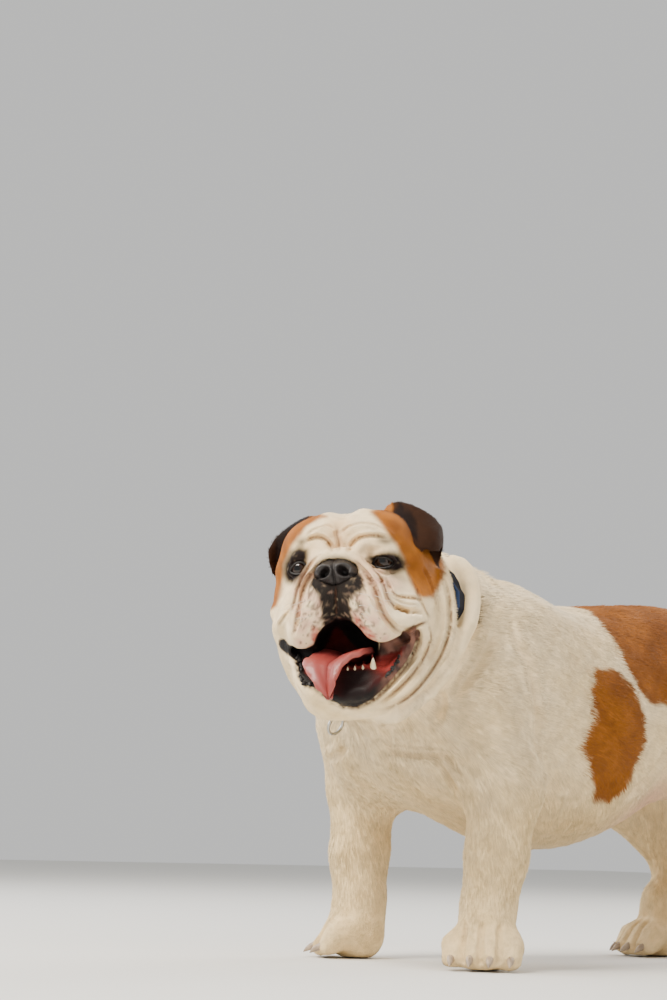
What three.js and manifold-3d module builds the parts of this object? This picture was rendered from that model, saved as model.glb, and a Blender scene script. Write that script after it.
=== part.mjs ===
// An English bulldog, life size, standing square with its head turned to its left and its mouth open.
// Millimetres, +Z up. The dog faces -Y, so its left side is +X. Heights count from the floor.
//
// The whole dog is one smooth field made of named forms (ellipsoids and tapered limbs) that melt into
// each other. Each body part is the skin of that field inside its own region, so that neighbours share
// one shape and meet at thin flat cuts. Nose, eyes, ears, tongue, tail and collar sit in that skin.
import * as THREE from "three";
import { mergeVertices } from "three/addons/utils/BufferGeometryUtils.js";
import Module from "manifold-3d";

const wasm = await Module();
wasm.setup();

// Driving dimensions
const GAP = 0.3; // between any two parts
const FAR = 2000; // bigger than the dog, for cutting blocks
const WITHERS = 438; // height of the skin roll over the shoulders
const BACK = 418; // height of the back, just behind the shoulders
const LOIN = 436; // height of the loin, the top of the arched back
const BRISKET = 128; // clearance under the rib cage
const RIB_HALF_WIDTH = 138;
const FOREFOOT_X = 114; // half the distance between the forefeet
const FOREFOOT_TURN = 42; // degrees that a forefoot points outwards
const HINDFOOT_X = 72;
const HINDFOOT_Y = 446; // how far the hind feet stand behind the forefeet
const HINDFOOT_TURN = 12;
const PAW_TOP = 46; // where a paw meets its leg

const HEAD_CENTRE = [52, -145, 418]; // middle of the skull, at eye level
const HEAD_TURN = 38; // degrees to the dog's left
const HEAD_NOD = 3; // degrees, nose up
const HEAD_TILT = 5; // degrees, left eye up
const EYE_X = 45;
const EYE_Y = -60;
const EYE_RADIUS = 12.5;
const NOSE = { at: [0, -89, -12], radii: [23, 12, 14] };
const EAR_THICKNESS = 4.4;
const TONGUE_THICKNESS = 7;
const COLLAR_WIDTH = 25;
const COLLAR_THICKNESS = 3.4;

const rad = THREE.MathUtils.degToRad;

// Forms. Each is a function of a point that gives the distance to its surface, negative inside.

function ellipsoid([cx, cy, cz], [rx, ry, rz], [tx, ty, tz] = [0, 0, 0]) {
  const turn = new THREE.Matrix4().makeRotationFromEuler(new THREE.Euler(rad(tx), rad(ty), rad(tz)));
  const e = turn.transpose().elements;
  return (x, y, z) => {
    const dx = x - cx;
    const dy = y - cy;
    const dz = z - cz;
    const px = (e[0] * dx + e[4] * dy + e[8] * dz) / rx;
    const py = (e[1] * dx + e[5] * dy + e[9] * dz) / ry;
    const pz = (e[2] * dx + e[6] * dy + e[10] * dz) / rz;
    const reach = Math.hypot(px, py, pz);
    const slope = Math.hypot(px / rx, py / ry, pz / rz);
    return slope < 1e-9 ? -Math.min(rx, ry, rz) : (reach * (reach - 1)) / slope;
  };
}

function limb([ax, ay, az], [bx, by, bz], startRadius, endRadius) {
  const dx = bx - ax;
  const dy = by - ay;
  const dz = bz - az;
  const lengthSquared = dx * dx + dy * dy + dz * dz;
  return (x, y, z) => {
    const along = ((x - ax) * dx + (y - ay) * dy + (z - az) * dz) / lengthSquared;
    const t = Math.min(1, Math.max(0, along));
    const reach = Math.hypot(x - ax - t * dx, y - ay - t * dy, z - az - t * dz);
    return reach - startRadius - t * (endRadius - startRadius);
  };
}

// A chain of limbs through points that each end with a radius: [x, y, z, radius].
function rope(points) {
  const links = points.slice(1).map((end, i) => {
    const start = points[i];
    return limb(start.slice(0, 3), end.slice(0, 3), start[3], end[3]);
  });
  return (x, y, z) => Math.min(...links.map((link) => link(x, y, z)));
}

const smoothMin = (a, b, softness) => {
  const h = Math.max(softness - Math.abs(a - b), 0) / softness;
  return Math.min(a, b) - (h * h * softness) / 4;
};
const melt = (softness, ...forms) => (x, y, z) =>
  forms.reduce((found, form) => smoothMin(found, form(x, y, z), softness), 1e6);
const carve = (softness, body, tool) => (x, y, z) => -smoothMin(-body(x, y, z), tool(x, y, z), softness);
const bothSides = (form) => (x, y, z) => form(Math.abs(x), y, z);
const insideBox = (form, low, high) => (x, y, z) =>
  Math.max(form(x, y, z), low[0] - x, x - high[0], low[1] - y, y - high[1], low[2] - z, z - high[2]);

// A form that is drawn in a frame of its own, read in the dog's frame.
function placed(form, place) {
  const e = place.clone().invert().elements;
  return (x, y, z) =>
    form(
      e[0] * x + e[4] * y + e[8] * z + e[12],
      e[1] * x + e[5] * y + e[9] * z + e[13],
      e[2] * x + e[6] * y + e[10] * z + e[14],
    );
}

// The head's own frame: origin at the middle of the skull, facing its own -Y.
const turnAbout = (axis, degrees) =>
  new THREE.Quaternion().setFromAxisAngle(new THREE.Vector3(...axis), rad(degrees));
const headPlace = new THREE.Matrix4().compose(
  new THREE.Vector3(...HEAD_CENTRE),
  turnAbout([0, 0, 1], HEAD_TURN)
    .multiply(turnAbout([1, 0, 0], -HEAD_NOD))
    .multiply(turnAbout([0, 1, 0], -HEAD_TILT)),
  new THREE.Vector3(1, 1, 1),
);
const fromHead = (point) => new THREE.Vector3(...point).applyMatrix4(headPlace).toArray();
const headDirection = (way) => new THREE.Vector3(...way).transformDirection(headPlace).toArray();

// Trunk: a barrel chest slung low between the shoulders, an arched loin and a narrower rump.
const ribDepth = (BACK - BRISKET) / 2;
const ribMiddle = (BACK + BRISKET) / 2;
const trunk = melt(
  56,
  ellipsoid([0, 158, ribMiddle], [RIB_HALF_WIDTH, 190, ribDepth]),
  ellipsoid([0, -8, 284], [106, 94, 96]),
  ellipsoid([0, 310, LOIN - 126], [102, 128, 118]),
  ellipsoid([0, 398, LOIN - 114], [92, 96, 98]),
  bothSides(ellipsoid([86, 14, 292], [48, 84, 108], [-14, 0, 0])),
  bothSides(ellipsoid([66, 70, 346], [52, 72, 62])),
);
const withersRoll = ellipsoid([8, 98, WITHERS - 70], [74, 50, 70]);

// Neck: as thick as the head, with a high crest and loose rolls of skin behind the cheeks.
const neck = melt(
  34,
  limb([0, 50, 330], [34, -84, 372], 98, 90),
  limb([4, 56, 352], [34, -70, 392], 82, 70),
  ellipsoid([34, -76, 330], [84, 56, 78], [0, 0, HEAD_TURN / 2]),
);

// Forelegs: short and stout, with the elbows turned out.
const foreleg = melt(
  22,
  limb([108, -12, 268], [123, 14, 200], 46, 42),
  limb([122, 12, 192], [119, 6, 120], 41, 32),
  limb([119, 6, 120], [FOREFOOT_X, -2, 40], 32, 28),
);

// Hind legs: a broad thigh, a bent stifle, and a hock that stands behind the foot.
const hindleg = melt(
  26,
  ellipsoid([80, 402, 268], [54, 84, 108], [-14, 0, 0]),
  limb([88, 406, 208], [77, 496, 112], 45, 25),
  limb([77, 498, 108], [HINDFOOT_X, 468, 36], 25, 26),
);

// One paw, pointing along its own -Y: a pad and four knuckled toes, spread like a fan, each with a claw.
const TOES = [
  { side: -1.5, lead: 9 },
  { side: -0.5, lead: 0 },
  { side: 0.5, lead: 0 },
  { side: 1.5, lead: 9 },
];
const TOE_PITCH = 17;
const TOE_FAN = 1.2; // how much wider apart the tips are than the knuckles
const TOE_TIP = { out: -36, height: 11.5, radius: 12 };
const CLAW = { radius: 4, length: 17, droop: 26 };

function paw(width) {
  const toes = TOES.map(({ side, lead }) =>
    rope([
      [side * TOE_PITCH * width, -6, 30, 15],
      [side * TOE_PITCH * width * TOE_FAN, -22 + lead * 0.6, 27, 14.5],
      [side * TOE_PITCH * width * TOE_FAN, TOE_TIP.out + lead, TOE_TIP.height, TOE_TIP.radius],
    ]),
  );
  const pad = ellipsoid([0, 4, 22], [30 * width, 30, 26]);
  const ankle = limb([0, 10, 70], [0, 6, 30], 27, 27);
  return melt(9, pad, ankle, ...toes);
}

const pawPlaces = {
  forepaw: { width: 1.04, at: [FOREFOOT_X, -4, 0], turn: FOREFOOT_TURN },
  hindpaw: { width: 0.94, at: [HINDFOOT_X, HINDFOOT_Y, 0], turn: HINDFOOT_TURN },
};
const placeOfPaw = ({ at, turn }) =>
  new THREE.Matrix4().makeRotationZ(rad(turn)).setPosition(...at);
const pawForms = Object.values(pawPlaces).map((foot) =>
  bothSides(placed(paw(foot.width), placeOfPaw(foot))),
);

// Head, in its own frame: broad flat skull, heavy cheeks, pushed-in muzzle and hanging upper lips.
const skull = melt(
  24,
  bothSides(ellipsoid([36, 2, 24], [42, 64, 43])),
  ellipsoid([0, 2, 30], [50, 62, 36]),
  bothSides(ellipsoid([32, -40, 22], [32, 28, 26])),
  bothSides(ellipsoid([54, 4, -26], [38, 56, 50])),
  bothSides(ellipsoid([54, 0, -72], [34, 50, 48])),
  ellipsoid([0, -46, -34], [50, 42, 36]),
  bothSides(ellipsoid([38, -48, -58], [27, 34, 36])),
);
const upperLip = bothSides(
  rope([
    [17, -80, -30, 21],
    [27, -80, -50, 23],
    [37, -74, -68, 22],
  ]),
);
const noseRoll = bothSides(
  rope([
    [0, -83, 10, 7.5],
    [20, -82, 8, 8.5],
    [37, -75, -8, 9.5],
    [49, -68, -28, 10],
    [61, -59, -46, 10],
    [77, -42, -58, 9.5],
  ]),
);
const cheekFold = bothSides(
  rope([
    [52, -54, -24, 6],
    [66, -48, -34, 7.5],
    [82, -32, -38, 8],
  ]),
);
const brow = bothSides(
  rope([
    [12, -64, 27, 8],
    [34, -66, 27, 10],
    [56, -52, 20, 9.5],
    [73, -32, 4, 9],
  ]),
);
const forehead = bothSides(
  rope([
    [10, -62, 26, 7.5],
    [13, -54, 44, 9],
    [19, -34, 58, 9],
  ]),
);

// Lower jaw and throat, hanging open below the cheeks.
const lowerJaw = melt(
  18,
  ellipsoid([0, -44, -134], [44, 42, 28]),
  bothSides(limb([50, -2, -102], [28, -50, -134], 28, 23)),
  ellipsoid([0, 8, -110], [57, 58, 44]),
);
const lowerLip = bothSides(
  rope([
    [0, -87, -143, 7.5],
    [26, -84, -139, 8],
    [46, -70, -122, 8],
    [62, -52, -96, 7.5],
    [76, -34, -68, 7],
  ]),
);
const gum = bothSides(
  rope([
    [0, -72, -118, 8],
    [24, -68, -117, 8],
    [40, -44, -110, 8],
  ]),
);
const mouth = melt(
  7,
  ellipsoid([0, -56, -84], [31, 46, 25]),
  bothSides(rope([
    [14, -84, -98, 12],
    [44, -62, -94, 9],
    [68, -42, -74, 6],
  ])),
  limb([0, -118, -92], [0, -60, -84], 26, 16),
);
const eyeDent = bothSides(ellipsoid([EYE_X + 1, EYE_Y - 15, 0], [13, 11, 8]));
const folds = [noseRoll, cheekFold, brow, forehead];
const closedHead = melt(8, melt(12, skull, upperLip), ...folds, lowerJaw, lowerLip);
const head = carve(6, melt(6, carve(7, closedHead, mouth), gum), eyeDent);

const flesh = melt(
  18,
  melt(24, trunk, withersRoll, bothSides(foreleg), bothSides(hindleg)),
  ...pawForms,
  neck,
  placed(head, headPlace),
);

// Skins. A grid of cells is laid through a field, each cell that the surface crosses gets one point,
// the points move onto the true surface, and each crossed grid edge gets one four-sided face.
const CORNERS = [0, 1, 2, 3, 4, 5, 6, 7].map((n) => [n & 1, (n >> 1) & 1, (n >> 2) & 1]);
const EDGES = [
  [[0, 1], [2, 3], [4, 5], [6, 7]],
  [[0, 2], [1, 3], [4, 6], [5, 7]],
  [[0, 4], [1, 5], [2, 6], [3, 7]],
].flat();

function ontoSurface(field, p, step) {
  const probe = 0.5;
  for (let round = 0; round < 3; round++) {
    const value = field(...p);
    const slope = [0, 1, 2].map((axis) => {
      const ahead = p.map((v, i) => (i === axis ? v + probe : v));
      const behind = p.map((v, i) => (i === axis ? v - probe : v));
      return (field(...ahead) - field(...behind)) / (2 * probe);
    });
    const steep = Math.max(0.2, slope[0] ** 2 + slope[1] ** 2 + slope[2] ** 2);
    const move = THREE.MathUtils.clamp(value / steep, -step * 0.25, step * 0.25);
    p = p.map((v, i) => v - slope[i] * move);
  }
  return p;
}

// Where the corners of a cell's face are in and out by turns, two sheets of skin would share an edge.
// The outer corner that is nearest the skin is then taken in.
function untangle(values, [nx, ny, nz]) {
  const sideways = [1, nx, nx * ny];
  let changed = true;
  while (changed) {
    changed = false;
    for (let k = 0; k < nz - 1; k++)
      for (let j = 0; j < ny - 1; j++)
        for (let i = 0; i < nx - 1; i++)
          for (const [u, v] of [[0, 1], [0, 2], [1, 2]]) {
            const a = i + nx * (j + ny * k);
            const ring = [a, a + sideways[u], a + sideways[u] + sideways[v], a + sideways[v]];
            const inner = ring.map((corner) => values[corner] < 0);
            if (inner[0] !== inner[2] || inner[1] !== inner[3] || inner[0] === inner[1]) continue;
            const outer = ring.filter((corner) => values[corner] >= 0);
            outer.sort((p, q) => values[p] - values[q]);
            values[outer[0]] = -1e-3;
            changed = true;
          }
  }
}

function skinOf(whole, low, high, step) {
  const field = insideBox(whole, low.map((v) => v + 1.5 * step), high.map((v) => v - 1.5 * step));
  const counts = low.map((v, i) => Math.ceil((high[i] - v) / step) + 1);
  const [nx, ny, nz] = counts;
  const at = (i, j, k) => i + nx * (j + ny * k);
  const values = new Float32Array(nx * ny * nz);
  for (let k = 0; k < nz; k++)
    for (let j = 0; j < ny; j++)
      for (let i = 0; i < nx; i++)
        values[at(i, j, k)] = field(low[0] + i * step, low[1] + j * step, low[2] + k * step) || 1e-6;

  untangle(values, counts);
  const pointOf = new Int32Array(values.length).fill(-1);
  const points = [];
  for (let k = 0; k < nz - 1; k++)
    for (let j = 0; j < ny - 1; j++)
      for (let i = 0; i < nx - 1; i++) {
        const sum = [0, 0, 0];
        let crossings = 0;
        for (const [a, b] of EDGES) {
          const [ca, cb] = [CORNERS[a], CORNERS[b]];
          const va = values[at(i + ca[0], j + ca[1], k + ca[2])];
          const vb = values[at(i + cb[0], j + cb[1], k + cb[2])];
          if (va < 0 === vb < 0) continue;
          const t = va / (va - vb);
          sum.forEach((v, axis) => (sum[axis] = v + ca[axis] + t * (cb[axis] - ca[axis])));
          crossings += 1;
        }
        if (!crossings) continue;
        pointOf[at(i, j, k)] = points.length;
        const cell = [i, j, k];
        const start = sum.map((v, axis) => low[axis] + (cell[axis] + v / crossings) * step);
        const seat = ontoSurface(field, start, step);
        // A point that left its cell would fold the skin over, so it is held inside.
        points.push(seat.map((v, axis) => {
          const corner = low[axis] + cell[axis] * step;
          return THREE.MathUtils.clamp(v, corner + 0.04 * step, corner + 0.96 * step);
        }));
      }

  const faces = [];
  const seatsOf = (...cells) => cells.map((cell) => pointOf[at(...cell)]);
  const addQuad = (a, b, c, d, flip) => {
    const [pa, pb, pc, pd] = [a, b, c, d].map((n) => new THREE.Vector3(...points[n]));
    const shortAC = pa.distanceTo(pc) < pb.distanceTo(pd);
    const pair = shortAC ? [a, b, c, a, c, d] : [a, b, d, b, c, d];
    faces.push(...(flip ? pair.reverse() : pair));
  };
  for (let k = 1; k < nz - 1; k++)
    for (let j = 1; j < ny - 1; j++)
      for (let i = 1; i < nx - 1; i++) {
        const inside = values[at(i, j, k)] < 0;
        if (inside !== values[at(i + 1, j, k)] < 0) {
          const ring = seatsOf([i, j - 1, k - 1], [i, j, k - 1], [i, j, k], [i, j - 1, k]);
          addQuad(...ring, !inside);
        }
        if (inside !== values[at(i, j + 1, k)] < 0) {
          const ring = seatsOf([i - 1, j, k - 1], [i - 1, j, k], [i, j, k], [i, j, k - 1]);
          addQuad(...ring, !inside);
        }
        if (inside !== values[at(i, j, k + 1)] < 0) {
          const ring = seatsOf([i - 1, j - 1, k], [i, j - 1, k], [i, j, k], [i - 1, j, k]);
          addQuad(...ring, !inside);
        }
      }
  return new THREE.BufferGeometry()
    .setAttribute("position", new THREE.Float32BufferAttribute(points.flat(), 3))
    .setIndex(faces);
}

// Joining and cutting
function solidOf(geometry) {
  const places = geometry.getAttribute("position").clone();
  const bare = new THREE.BufferGeometry().setAttribute("position", places);
  if (geometry.index) bare.setIndex(geometry.index.clone());
  const merged = mergeVertices(bare, 1e-3);
  const closed = (triVerts) =>
    new wasm.Manifold(
      new wasm.Mesh({ numProp: 3, vertProperties: merged.attributes.position.array, triVerts }),
    );
  const solid = closed(new Uint32Array(merged.index.array));
  // A mirrored strip or sheet is listed inside out, and then its triangles are turned round.
  return solid.volume() < 0 ? closed(new Uint32Array(merged.index.array).reverse()) : solid;
}

function geometryOf(solid) {
  const mesh = solid.getMesh();
  return new THREE.BufferGeometry()
    .setAttribute("position", new THREE.BufferAttribute(new Float32Array(mesh.vertProperties), 3))
    .setIndex(new THREE.BufferAttribute(new Uint32Array(mesh.triVerts), 1));
}

const largest = (solid) => solid.decompose().sort((a, b) => b.volume() - a.volume())[0];
const joined = (solids) => solids.reduce((found, solid) => found.add(solid));
const without = (solid, tools) => tools.reduce((found, tool) => found.subtract(tool), solid);

// A block whose one face is the plane through a point, with everything on the side that the normal leaves.
function behindPlane(point, normal, shift) {
  const block = new THREE.BoxGeometry(FAR, FAR, FAR).translate(0, 0, -FAR / 2);
  const turn = new THREE.Quaternion().setFromUnitVectors(
    new THREE.Vector3(0, 0, 1),
    new THREE.Vector3(...normal).normalize(),
  );
  block.applyQuaternion(turn);
  const place = new THREE.Vector3(...normal).setLength(shift).add(new THREE.Vector3(...point));
  return solidOf(block.translate(place.x, place.y, place.z));
}

// A region is the space behind all its planes, drawn in by half a gap. As a tool it is half a gap larger.
const regionSolid = (planes, shift) =>
  planes.map(({ at, out }) => behindPlane(at, out, shift)).reduce((found, block) => found.intersect(block));
const inRegion = (planes) => regionSolid(planes, -GAP / 2);
const toolOf = (planes) => regionSolid(planes, GAP / 2);
const opposite = ({ at, out }) => ({ at, out: out.map((v) => -v) });
const mirrorX = (planes) =>
  planes.map(({ at, out }) => ({ at: [-at[0], at[1], at[2]], out: [-out[0], out[1], out[2]] }));

// Where the parts meet
const floorCut = { at: [0, 0, 0], out: [0, 0, -1] };
const pawCut = { at: [0, 0, PAW_TOP], out: [0, 0, 1] };
const collarCut = { at: fromHead([-2, 52, -48]), out: [-0.5, 0.84, -0.2] };
const throatCut = { at: [30, -130, 256], out: [0.2, 0.45, -0.87] };
const jawCut = { at: fromHead([0, -34, -78]), out: headDirection([0, -0.42, 0.9]) };
const neckRegion = [
  { at: [0, 8, 338], out: [0, 0.8, -0.6] },
  { at: [0, -70, 258], out: [0, 0.3, -0.95] },
];
const headRegion = [collarCut, throatCut];
const forelegRegion = [
  { at: [80, 0, 184], out: [-0.66, 0, 0.75] },
  { at: [0, 62, 0], out: [0, 1, 0] },
  { at: [0, -104, 0], out: [0, -1, 0] },
];
const hindlegRegion = [
  { at: [36, 400, 190], out: [-0.86, 0, 0.51] },
  { at: [0, 336, 150], out: [0, -1, 0.12] },
];

// Closed strips and sheets

// A closed tube of round rings through points [x, y, z, radius], with a flat fan at each end.
function sweep(points, sides, extra) {
  const centres = points.map((p) => new THREE.Vector3(...p));
  const last = points.length - 1;
  const flat = [];
  const firstWay = centres[1].clone().sub(centres[0]).normalize();
  const start = centres[0].clone().addScaledVector(firstWay, -extra);
  const lastWay = centres[last].clone().sub(centres[last - 1]).normalize();
  const end = centres[last].clone().addScaledVector(lastWay, extra);
  let side = new THREE.Vector3(1, 0, 0);
  centres.forEach((centre, i) => {
    const way = centres[Math.min(i + 1, last)].clone().sub(centres[Math.max(i - 1, 0)]).normalize();
    side = side.clone().addScaledVector(way, -side.dot(way)).normalize();
    const up = way.clone().cross(side);
    const seat = i === 0 ? start : i === last ? end : centre;
    for (let k = 0; k < sides; k++) {
      const angle = (2 * Math.PI * k) / sides;
      const reach = points[i][3] + extra;
      const ring = seat
        .clone()
        .addScaledVector(side, Math.cos(angle) * reach)
        .addScaledVector(up, Math.sin(angle) * reach);
      flat.push(...ring.toArray());
    }
  });
  flat.push(...start.toArray(), ...end.toArray());
  const faces = [];
  const at = (i, k) => i * sides + (k % sides);
  for (let k = 0; k < sides; k++) {
    for (let i = 0; i < last; i++)
      faces.push(at(i, k), at(i, k + 1), at(i + 1, k), at(i + 1, k), at(i, k + 1), at(i + 1, k + 1));
    faces.push(at(0, k + 1), at(0, k), points.length * sides);
    faces.push(at(last, k), at(last, k + 1), points.length * sides + 1);
  }
  return new THREE.BufferGeometry()
    .setAttribute("position", new THREE.Float32BufferAttribute(flat, 3))
    .setIndex(faces);
}

// A closed curved sheet through rows of points. Its two faces are split into triangles alike.
function sheet(rows, across, along, thickness, extra) {
  const curve = (points) => new THREE.CatmullRomCurve3(points);
  const smoothRows = rows.map((row) => curve(row.map((p) => new THREE.Vector3(...p))));
  const grid = [];
  for (let j = 0; j <= along; j++) grid.push([]);
  for (let i = 0; i <= across; i++) {
    const column = curve(smoothRows.map((row) => row.getPoint(i / across)));
    for (let j = 0; j <= along; j++) grid[j].push(column.getPoint(j / along));
  }
  const near = (v, top) => Math.min(top, Math.max(0, v));
  const between = (a, b) => b.clone().sub(a).normalize();
  const wayAcross = (i, j) => between(grid[j][near(i - 1, across)], grid[j][near(i + 1, across)]);
  const wayAlong = (i, j) => between(grid[near(j - 1, along)][i], grid[near(j + 1, along)][i]);
  const faceA = [];
  const faceB = [];
  for (let j = 0; j <= along; j++)
    for (let i = 0; i <= across; i++) {
      const u = wayAcross(i, j);
      const v = wayAlong(i, j);
      const out = u.clone().cross(v).normalize();
      const edgeU = i === 0 ? -1 : i === across ? 1 : 0;
      const edgeV = j === 0 ? -1 : j === along ? 1 : 0;
      const half = (thickness * (edgeU || edgeV ? 0.3 : 0.5)) + extra;
      const seat = grid[j][i].clone().addScaledVector(u, edgeU * extra).addScaledVector(v, edgeV * extra);
      faceA.push(seat.clone().addScaledVector(out, half));
      faceB.push(seat.clone().addScaledVector(out, -half));
    }
  const points = [...faceA, ...faceB].flatMap((p) => p.toArray());
  const width = across + 1;
  const other = faceA.length;
  const faces = [];
  const quad = (a, b, c, d) => faces.push(a, b, c, a, c, d);
  for (let j = 0; j < along; j++)
    for (let i = 0; i < across; i++) {
      const corners = [j * width + i, j * width + i + 1, (j + 1) * width + i + 1, (j + 1) * width + i];
      const [a, b, c, d] = corners;
      quad(a, b, c, d);
      faces.push(a + other, c + other, b + other, a + other, d + other, c + other);
    }
  const rim = [];
  for (let i = 0; i < across; i++) rim.push(i);
  for (let j = 0; j < along; j++) rim.push(j * width + across);
  for (let i = across; i > 0; i--) rim.push(along * width + i);
  for (let j = along; j > 0; j--) rim.push(j * width);
  rim.forEach((a, k) => {
    const b = rim[(k + 1) % rim.length];
    quad(a, a + other, b + other, b);
  });
  return new THREE.BufferGeometry()
    .setAttribute("position", new THREE.Float32BufferAttribute(points, 3))
    .setIndex(faces);
}

// Colours
const COATS = {
  white: { color: 0xe6dccb, roughness: 0.85 },
  tan: { color: 0xb06a2c, roughness: 0.85 },
  dark: { color: 0x2b221f, roughness: 0.5 },
  tongue: { color: 0xc4605a, roughness: 0.4 },
  eye: { color: 0x1b110c, roughness: 0.1 },
  webbing: { color: 0x1d2b4a, roughness: 0.7 },
  metal: { color: 0x9a9a96, roughness: 0.35, metalness: 0.9 },
};

const dog = new THREE.Group();
function add(name, solid, coat) {
  const mesh = new THREE.Mesh(geometryOf(largest(solid)), new THREE.MeshStandardMaterial(COATS[coat]));
  mesh.name = name;
  dog.add(mesh);
}
const onHead = (geometry) => solidOf(geometry.applyMatrix4(headPlace));
const onSide = (sign, points) => points.map(([x, ...rest]) => [sign * x, ...rest]);

// Each inset piece is made twice: at its size, and one gap larger to cut its seat.

// Eyes and lids
const eyeball = (sign, extra) =>
  onHead(new THREE.SphereGeometry(EYE_RADIUS + extra, 14, 10).translate(sign * EYE_X, EYE_Y, 0));
const LID = { width: 11.5, height: 7.6, radius: 3.4, steps: 12, sides: 6 };
function lids(sign) {
  const ring = [];
  for (let k = 0; k <= LID.steps; k++) {
    const angle = (2 * Math.PI * k) / LID.steps;
    const side = LID.width * Math.cos(angle);
    const rise = LID.height * Math.sin(angle);
    const front = -Math.sqrt((EYE_RADIUS + 1) ** 2 - side ** 2 - rise ** 2 * 0.9);
    ring.push(new THREE.Vector3(sign * (EYE_X + side), EYE_Y + front, rise));
  }
  const halves = [ring.slice(0, LID.steps / 2 + 1), ring.slice(LID.steps / 2)];
  return halves.map((half) => onHead(sweep(half.map((p) => [...p.toArray(), LID.radius]), LID.sides, 0.6)));
}

// Nose leather with two nostrils
const noseBall = (extra) =>
  onHead(
    new THREE.SphereGeometry(1, 14, 10)
      .scale(...NOSE.radii.map((r) => r + extra))
      .translate(...NOSE.at),
  );
const nostril = (sign) =>
  onHead(
    new THREE.SphereGeometry(1, 7, 5)
      .scale(5.2, 9, 4.2)
      .rotateY(sign * 0.5)
      .rotateZ(sign * 0.5)
      .translate(sign * 11, NOSE.at[1] - 10, NOSE.at[2] - 1),
  );

// Ears: a root along the side of the skull, a crest where the ear bends over, and the edge of its flap.
const EARS = {
  left: [
    [[22, 4, 47], [46, -2, 48], [66, 0, 34], [76, 8, 6], [74, 16, -22]],
    [[30, 4, 66], [48, 0, 70], [71, 2, 58], [84, 8, 26], [84, 12, -8]],
    [[38, 2, 77], [54, -2, 78], [80, 0, 66], [97, 4, 46], [94, 8, 14]],
    [[44, -12, 68], [58, -22, 55], [78, -26, 40], [95, -18, 32], [97, -4, 21]],
    [[44, -20, 58], [60, -31, 38], [74, -34, 22], [88, -27, 14], [96, -12, 15]],
  ],
  right: [
    [[22, 4, 46], [44, 2, 47], [62, 4, 34], [74, 10, 6], [74, 16, -16]],
    [[28, 8, 64], [48, 8, 69], [70, 10, 56], [82, 14, 24], [82, 16, -4]],
    [[34, 14, 70], [54, 16, 74], [80, 14, 60], [92, 10, 34], [90, 10, 6]],
    [[38, 24, 66], [62, 28, 70], [90, 14, 56], [99, 0, 36], [94, 0, 10]],
  ],
};
const ear = (name, sign, extra) =>
  onHead(sheet(EARS[name].map((row) => onSide(sign, row)), 8, 7, EAR_THICKNESS, extra));

// Tongue: rises from the floor of the mouth and hangs over the lip to the dog's right, its sides curled up.
const TONGUE = [
  [[-22, -22, -90], [0, -22, -96], [24, -22, -90]],
  [[-28, -52, -88], [0, -52, -96], [28, -52, -88]],
  [[-38, -84, -98], [-8, -82, -99], [26, -84, -94]],
  [[-40, -98, -108], [-14, -97, -108], [10, -100, -106]],
  [[-32, -106, -124], [-16, -104, -126], [-4, -106, -122]],
  [[-24, -107, -140], [-17, -106, -143], [-11, -107, -139]],
];
const tongue = (extra) => onHead(sheet(TONGUE, 6, 10, TONGUE_THICKNESS, extra));

// Lower teeth, rooted in the gum
const TOOTH_ROW = [
  { x: 4.5, y: -75, height: 7, radius: 2.6 },
  { x: 12, y: -74, height: 7.5, radius: 2.8 },
  { x: 20, y: -72, height: 8, radius: 3 },
  { x: 29, y: -66, height: 15, radius: 4.6 },
];
const tooth = ({ x, y, height, radius }, sign) =>
  onHead(
    new THREE.CylinderGeometry(radius * 0.35, radius, height + 8, 6)
      .rotateX(Math.PI / 2 - 0.12)
      .translate(sign * x, y, -118 + (height + 8) / 2),
  );

// Tail: short, low set and kinked
const TAIL = [
  [0, 476, 352, 17],
  [0, 492, 342, 16],
  [4, 506, 326, 12],
  [10, 512, 308, 9],
  [10, 516, 292, 5],
];
const tail = (extra) => solidOf(sweep(TAIL, 10, extra));

// Collar: webbing laid on the skin of the neck, found by stepping out from the middle of the neck.
const collarAxis = new THREE.Vector3(-0.34, 0.88, -0.33).normalize();
const collarMiddle = new THREE.Vector3(...fromHead([-2, 58, -52]));
const collarSide = new THREE.Vector3(1, 0, 0).addScaledVector(collarAxis, -collarAxis.x).normalize();
const collarUp = collarSide.clone().cross(collarAxis).normalize();
const COLLAR_STEPS = 40;
const fromCollar = (way, reach, offset) =>
  collarMiddle.clone().addScaledVector(way, reach).addScaledVector(collarAxis, offset);

function skinReach(angle, offset) {
  const way = collarSide.clone().multiplyScalar(Math.cos(angle)).addScaledVector(collarUp, Math.sin(angle));
  const at = (reach) => fromCollar(way, reach, offset);
  let reach = 40;
  while (reach < 150 && flesh(...at(reach).toArray()) < 0) reach += 0.5;
  return reach;
}

// The strap is drawn tight, so its reach is the mean of the skin's over a stretch of its length.
function strapReach(offset) {
  const raw = [];
  for (let k = 0; k < COLLAR_STEPS; k++) raw.push(skinReach((2 * Math.PI * k) / COLLAR_STEPS, offset));
  const around = (k) => raw[(k + COLLAR_STEPS) % COLLAR_STEPS];
  return raw.map((_, k) => (around(k - 2) + around(k - 1) + around(k) + around(k + 1) + around(k + 2)) / 5);
}
const strapEdges = [strapReach(-COLLAR_WIDTH / 2), strapReach(COLLAR_WIDTH / 2)];

const strapWay = (step) => {
  const angle = (2 * Math.PI * step) / COLLAR_STEPS;
  return collarSide.clone().multiplyScalar(Math.cos(angle)).addScaledVector(collarUp, Math.sin(angle));
};

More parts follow.
